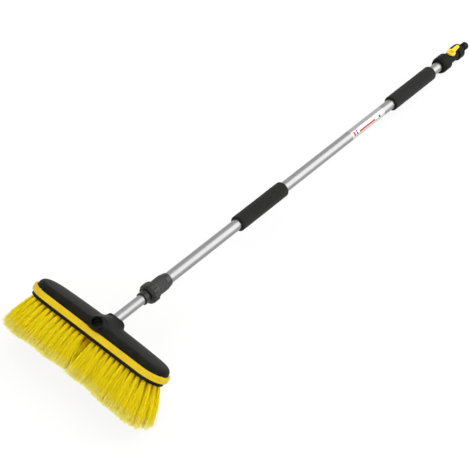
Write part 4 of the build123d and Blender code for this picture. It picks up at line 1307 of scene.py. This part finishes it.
@dataclass
class TwistLock:
    """Nose ring, lobed nut and ribbed sleeve round the join of the tubes.

    Stations are counted along the pole, from where it meets the head. The nut's skin is plain up to
    nut_plain outside its bore and fully carved from nut_carved on, and the sleeve's from rib_from to rib_to.
    """

    pole: Axes
    slide_radius: float = 9.8
    nose_start: float = 109.0
    nose_length: float = 12.1
    nose_radius: float = 12.2
    nose_waist: float = 11.5
    nose_lip: float = 3.4
    nose_rim: float = 1.6
    nose_bevel: float = 0.8
    nose_round: float = 0.7
    nose_columns: int = 96
    nut_start: float = 121.5
    nut_length: float = 19.0
    nut_radius: float = 19.6
    nut_cone_radius: float = 15.5
    nut_cone_length: float = 4.5
    nut_mouth: float = 11.4
    nut_wall: float = 2.5
    nut_bore: float = 15.2
    nut_round: float = 1.8
    nut_step: float = 0.55
    nut_columns: int = 300
    nut_lobes: int = 10
    notch_half: float = 2.6
    notch_depth: float = 1.7
    notch_power: float = 0.7
    nut_ribs: int = 30
    nut_rib_depth: float = 0.35
    nut_rib_power: int = 6
    nut_plain: float = 0.4
    nut_carved: float = 1.6
    release_gap: float = 0.6
    sleeve_radius: float = 15.4
    sleeve_end: float = 182.0
    sleeve_end_radius: float = 13.2
    sleeve_taper: float = 13.0
    sleeve_round: float = 1.0
    sleeve_step: float = 0.7
    sleeve_columns: int = 280
    sleeve_ribs: int = 28
    rib_depth: float = 0.7
    rib_power: int = 4
    rib_lead: float = 2.0
    rib_rise: float = 1.5
    rib_from: float = 14.0
    rib_to: float = 15.0
    thread_lead: float = 8.3
    thread_clearance: float = 0.3
    collet_mouth: float = 13.0
    collet_floor: float = 12.0
    collet_depth: float = 9.0
    tube_seat: float = 12.0
    tube_radius: float = 11.0

    def nose(self) -> None:
        """A short ring with a waist between its lip and its rear rim."""
        start, end = self.nose_start, self.nose_start + self.nose_length
        waist_start, waist_end = start + self.nose_lip, end - self.nose_rim
        corners = np.array([
            [self.slide_radius, start], [self.nose_radius, start], [self.nose_radius, waist_start],
            [self.nose_waist, waist_start + self.nose_bevel], [self.nose_waist, waist_end - self.nose_bevel],
            [self.nose_radius, waist_end], [self.nose_radius, end], [self.slide_radius, end]])
        grid = turned(rounded(corners, self.nose_round), self.nose_columns)
        piece = surface("lock_nose_ring", grid, self.pole)
        dress(piece, LOCK_MOULDING, "clamp_slide", "black_moulding", "nose_ring")

    def nut(self) -> None:
        """A coned nut, whose notches and ribs fade out where its radius comes near the bore's."""
        start, end = self.nut_start, self.nut_start + self.nut_length
        wall_end = start + self.nut_wall
        corners = np.array([
            [self.nut_mouth, start], [self.nut_cone_radius, start],
            [self.nut_radius, start + self.nut_cone_length], [self.nut_radius, end], [self.nut_bore, end],
            [self.nut_bore, wall_end], [self.nut_mouth, wall_end]])

        def carve(radius: Array, station: Array, angle: Array) -> Array:
            """Takes notches and ribs off the outside.

            A notch's depth is its full depth times (1 - (d / half width)^2)^power, d being the way across
            it. A rib's depth follows a power of a cosine of the angle.

            Args:
                radius: the outline's radius.
                station: the outline's station.
                angle: angle round the pole.

            Returns:
                The carved radius.
            """
            pitch = 2 * np.pi / self.nut_lobes
            away = np.abs((angle + pitch / 2) % pitch - pitch / 2) * radius
            notch = self.notch_depth * np.clip(1 - (away / self.notch_half) ** 2, 0, 1) ** self.notch_power
            ribs = self.nut_rib_depth * np.abs(np.cos(self.nut_ribs * angle / 2)) ** self.nut_rib_power
            outside = smooth_step(radius, self.nut_bore + self.nut_plain, self.nut_bore + self.nut_carved)
            return radius - (notch + ribs) * outside

        outline = spaced(rounded(corners, self.nut_round), self.nut_step)
        piece = surface("lock_nut", turned(outline, self.nut_columns, carve), self.pole)
        dress(piece, LOCK_MOULDING, "clamp_nut", "black_moulding", "clamp_nut")

    def sleeve(self) -> None:
        """A sleeve with grooves along it, a tapered end and a plain spigot inside the nut."""
        shoulder = self.nut_start + self.nut_length + self.release_gap
        taper = self.sleeve_end - self.sleeve_taper
        start, thread_radius = self.nut_start + self.thread_lead, self.nut_bore - self.thread_clearance
        corners = np.array([
            [self.collet_mouth, start], [thread_radius, start], [thread_radius, shoulder],
            [self.sleeve_radius, shoulder], [self.sleeve_radius, taper],
            [self.sleeve_end_radius, self.sleeve_end], [self.tube_radius, self.sleeve_end],
            [self.tube_radius, start + self.tube_seat], [self.collet_floor, start + self.collet_depth]])

        def carve(radius: Array, station: Array, angle: Array) -> Array:
            """Takes grooves off, whose depth follows a power of a cosine, between the shoulder and the taper.

            Args:
                radius: the outline's radius.
                station: the outline's station.
                angle: angle round the pole.

            Returns:
                The carved radius.
            """
            ribs = self.rib_depth * np.abs(np.cos(self.sleeve_ribs * angle / 2)) ** self.rib_power
            lead = shoulder + self.rib_lead
            along = smooth_step(station, lead, lead + self.rib_rise)
            along = along * (1 - smooth_step(station, taper - self.rib_lead, taper))
            return radius - ribs * along * smooth_step(radius, self.rib_from, self.rib_to)

        outline = spaced(rounded(corners, self.sleeve_round), self.sleeve_step)
        piece = surface("lock_sleeve", turned(outline, self.sleeve_columns, carve), self.pole)
        dress(piece, LOCK_MOULDING, "outer_pole", "black_moulding", "clamp_sleeve")

    def build(self) -> None:
        """Builds the three pieces."""
        self.nose()
        self.nut()
        self.sleeve()


@dataclass
class FoamGrips:
    """Two foam tubes pushed over the pole, which are a little uneven and soft at their ends.

    Front and rear are their first and last stations. The noise starts at skin_from outside the bore and is
    full from skin_to on, so that the bore stays round.
    """

    pole: Axes
    front: tuple[float, float] = (394.5, 541.0)
    rear: tuple[float, float] = (937.5, 1097.0)
    bore: float = 11.05
    radius: float = 16.0
    end_round: float = 4.2
    round_points: int = 9
    step: float = 0.9
    columns: int = 120
    dents: float = 0.22
    dent_wave: float = 34.0
    dent_sines: int = 9
    pores: float = 0.1
    pore_wave: float = 3.1
    pore_sines: int = 40
    skin_from: float = 0.2
    skin_to: float = 2.0
    fill: float = 0.8

    def grip(self, name: str, ends: tuple[float, float], seed: int) -> None:
        """Builds one grip, whose outside goes in and out by two sorts of smooth noise.

        Args:
            name: the grip's node.
            ends: its first and last station.
            seed: the random number generator's seed.
        """
        start, end = ends
        corners = np.array([[self.bore, start], [self.radius, start], [self.radius, end], [self.bore, end]])
        outline = spaced(rounded(corners, self.end_round, self.round_points), self.step)
        grid = turned(outline, self.columns)
        flat = grid.reshape(-1, 3)
        shift = (self.dents * rolling(flat, self.dent_wave, self.dent_sines, seed)
                 + self.pores * rolling(flat, self.pore_wave, self.pore_sines, seed + 1))
        radius = np.hypot(flat[:, 0], flat[:, 1])
        outside = smooth_step(radius, self.bore + self.skin_from, self.bore + self.skin_to)
        flat[:, :2] *= 1 + (shift * outside / radius)[:, None]
        piece = surface("foam_" + name, flat.reshape(grid.shape), self.pole)
        dress(piece, GRIP_FOAM, "outer_pole", "black_foam", name)

    def build(self) -> None:
        """Builds both grips."""
        self.grip("front_grip", self.front, SEED + 50)
        self.grip("rear_grip", self.rear, SEED + 60)


@dataclass
class HoseEnd:
    """Cap, union collar and hose tail at the pole's end."""

    pole: Axes
    tube_radius: float = 11.1
    cap_start: float = 1132.5
    cap_end: float = 1163.0
    cap_radius: float = 18.5
    cap_lip_radius: float = 17.0
    cap_lip: float = 5.0
    cap_bevel: float = 0.6
    cap_round: float = 1.6
    cap_columns: int = 120
    spigot_radius: float = 9.1
    spigot_depth: float = 10.0
    tube_stop: float = 12.5
    collar_start: float = 1201.4
    collar_end: float = 1222.0
    collar_radius: float = 16.5
    collar_bore: float = 11.6
    collar_web: float = 6.9
    web_bevel: float = 0.3
    collar_round: float = 3.0
    collar_step: float = 0.7
    collar_columns: int = 224
    grooves: int = 16
    groove_depth: float = 0.8
    groove_power: int = 6
    groove_lead: float = 3.0
    groove_rise: float = 2.0
    groove_from: float = 13.0
    groove_to: float = 15.0
    clearance: float = 0.1
    tail_start: float = 1215.0
    tail_end: float = 1251.0
    tail_bore: float = 4.5
    tail_root: float = 7.6
    tail_waist: float = 6.6
    tail_radius: float = 8.6
    waist_lead: float = 9.0
    waist_length: float = 5.0
    waist_bevel: float = 0.3
    ring_half: float = 1.25
    ring_depth: float = 2.2
    tail_chamfer: float = 1.2
    tail_round: float = 0.35
    tail_columns: int = 96

    def cap(self) -> None:
        """A thick cap with a stepped front lip."""
        start, end, lip_end = self.cap_start, self.cap_end, self.cap_start + self.cap_lip
        corners = np.array([
            [self.tube_radius, start], [self.cap_lip_radius, start], [self.cap_lip_radius, lip_end],
            [self.cap_radius, lip_end + self.cap_bevel], [self.cap_radius, end], [self.spigot_radius, end],
            [self.spigot_radius, end - self.spigot_depth], [self.tube_radius, end - self.tube_stop]])
        piece = surface("pole_end_cap", turned(rounded(corners, self.cap_round), self.cap_columns), self.pole)
        dress(piece, BLACK_MOULDING, "outer_pole", "black_moulding", "end_cap")

    def collar(self) -> None:
        """A collar with round-bottomed grooves that stop short of its ends."""
        start, end = self.collar_start, self.collar_end
        inside, web_start = self.tail_root + self.clearance, end - self.collar_web
        corners = np.array([
            [self.collar_bore, start], [self.collar_radius, start], [self.collar_radius, end], [inside, end],
            [inside, web_start], [self.collar_bore, web_start - self.web_bevel]])

        def carve(radius: Array, station: Array, angle: Array) -> Array:
            """Takes grooves off, whose depth follows a power of a cosine.

            Args:
                radius: the outline's radius.
                station: the outline's station.
                angle: angle round the pole.

            Returns:
                The carved radius.
            """
            groove = self.groove_depth * np.abs(np.cos(self.grooves * angle / 2)) ** self.groove_power
            first, last = start + self.groove_lead, end - self.groove_lead
            along = smooth_step(station, first, first + self.groove_rise)
            along = along * (1 - smooth_step(station, last - self.groove_rise, last))
            return radius - groove * along * smooth_step(radius, self.groove_from, self.groove_to)

        outline = spaced(rounded(corners, self.collar_round), self.collar_step)
        piece = surface("hose_union_collar", turned(outline, self.collar_columns, carve), self.pole)
        dress(piece, BLACK_MOULDING, "outer_pole", "black_moulding", "union_collar")

    def tail(self) -> None:
        """The tail that a hose connector snaps on, with a waist for its catch and a groove for its ring."""
        waist, end = self.collar_end + self.waist_lead, self.tail_end
        waist_end = waist + self.waist_length
        middle = (waist_end + end) / 2
        ring, floor = (middle - self.ring_half, middle + self.ring_half), self.tail_radius - self.ring_depth
        corners = np.array([
            [self.tail_bore, self.tail_start], [self.tail_root, self.tail_start], [self.tail_root, waist],
            [self.tail_waist, waist + self.waist_bevel], [self.tail_waist, waist_end - self.waist_bevel],
            [self.tail_radius, waist_end], [self.tail_radius, ring[0]], [floor, ring[0]], [floor, ring[1]],
            [self.tail_radius, ring[1]], [self.tail_radius, end - self.tail_chamfer],
            [self.tail_radius - self.tail_chamfer, end], [self.tail_bore, end]])
        piece = surface("hose_tail", turned(rounded(corners, self.tail_round), self.tail_columns), self.pole)
        dress(piece, BLACK_MOULDING, "outer_pole", "nipple_plastic", "hose_nipple")

    def build(self) -> None:
        """Builds the three pieces."""
        self.cap()
        self.collar()
        self.tail()


def main() -> None:
    """Builds the camera, the studio and every sub-assembly, and dresses the nodes that stay."""
    logging.basicConfig(level=logging.INFO, format="%(name)s: %(message)s")
    pole = pole_axes()
    head = head_axes(pole, HEAD_LEAN_DEG, SOCKET_SETBACK)
    CameraRig().build(pole)
    assemblies = (Studio(), Head(head, pole), Bristles(head), TwistLock(pole), FoamGrips(pole), HoseEnd(pole))
    for assembly in assemblies:
        assembly.build()
    for finish, nodes in KEPT_NODES.items():
        for node in nodes:
            piece = frame["nodes"][node]
            piece.data.materials.clear()
            piece.data.materials.append(finish.material())
            log.info("%s: kept, %s", node, finish.name)


if __name__ == "__main__":
    main()
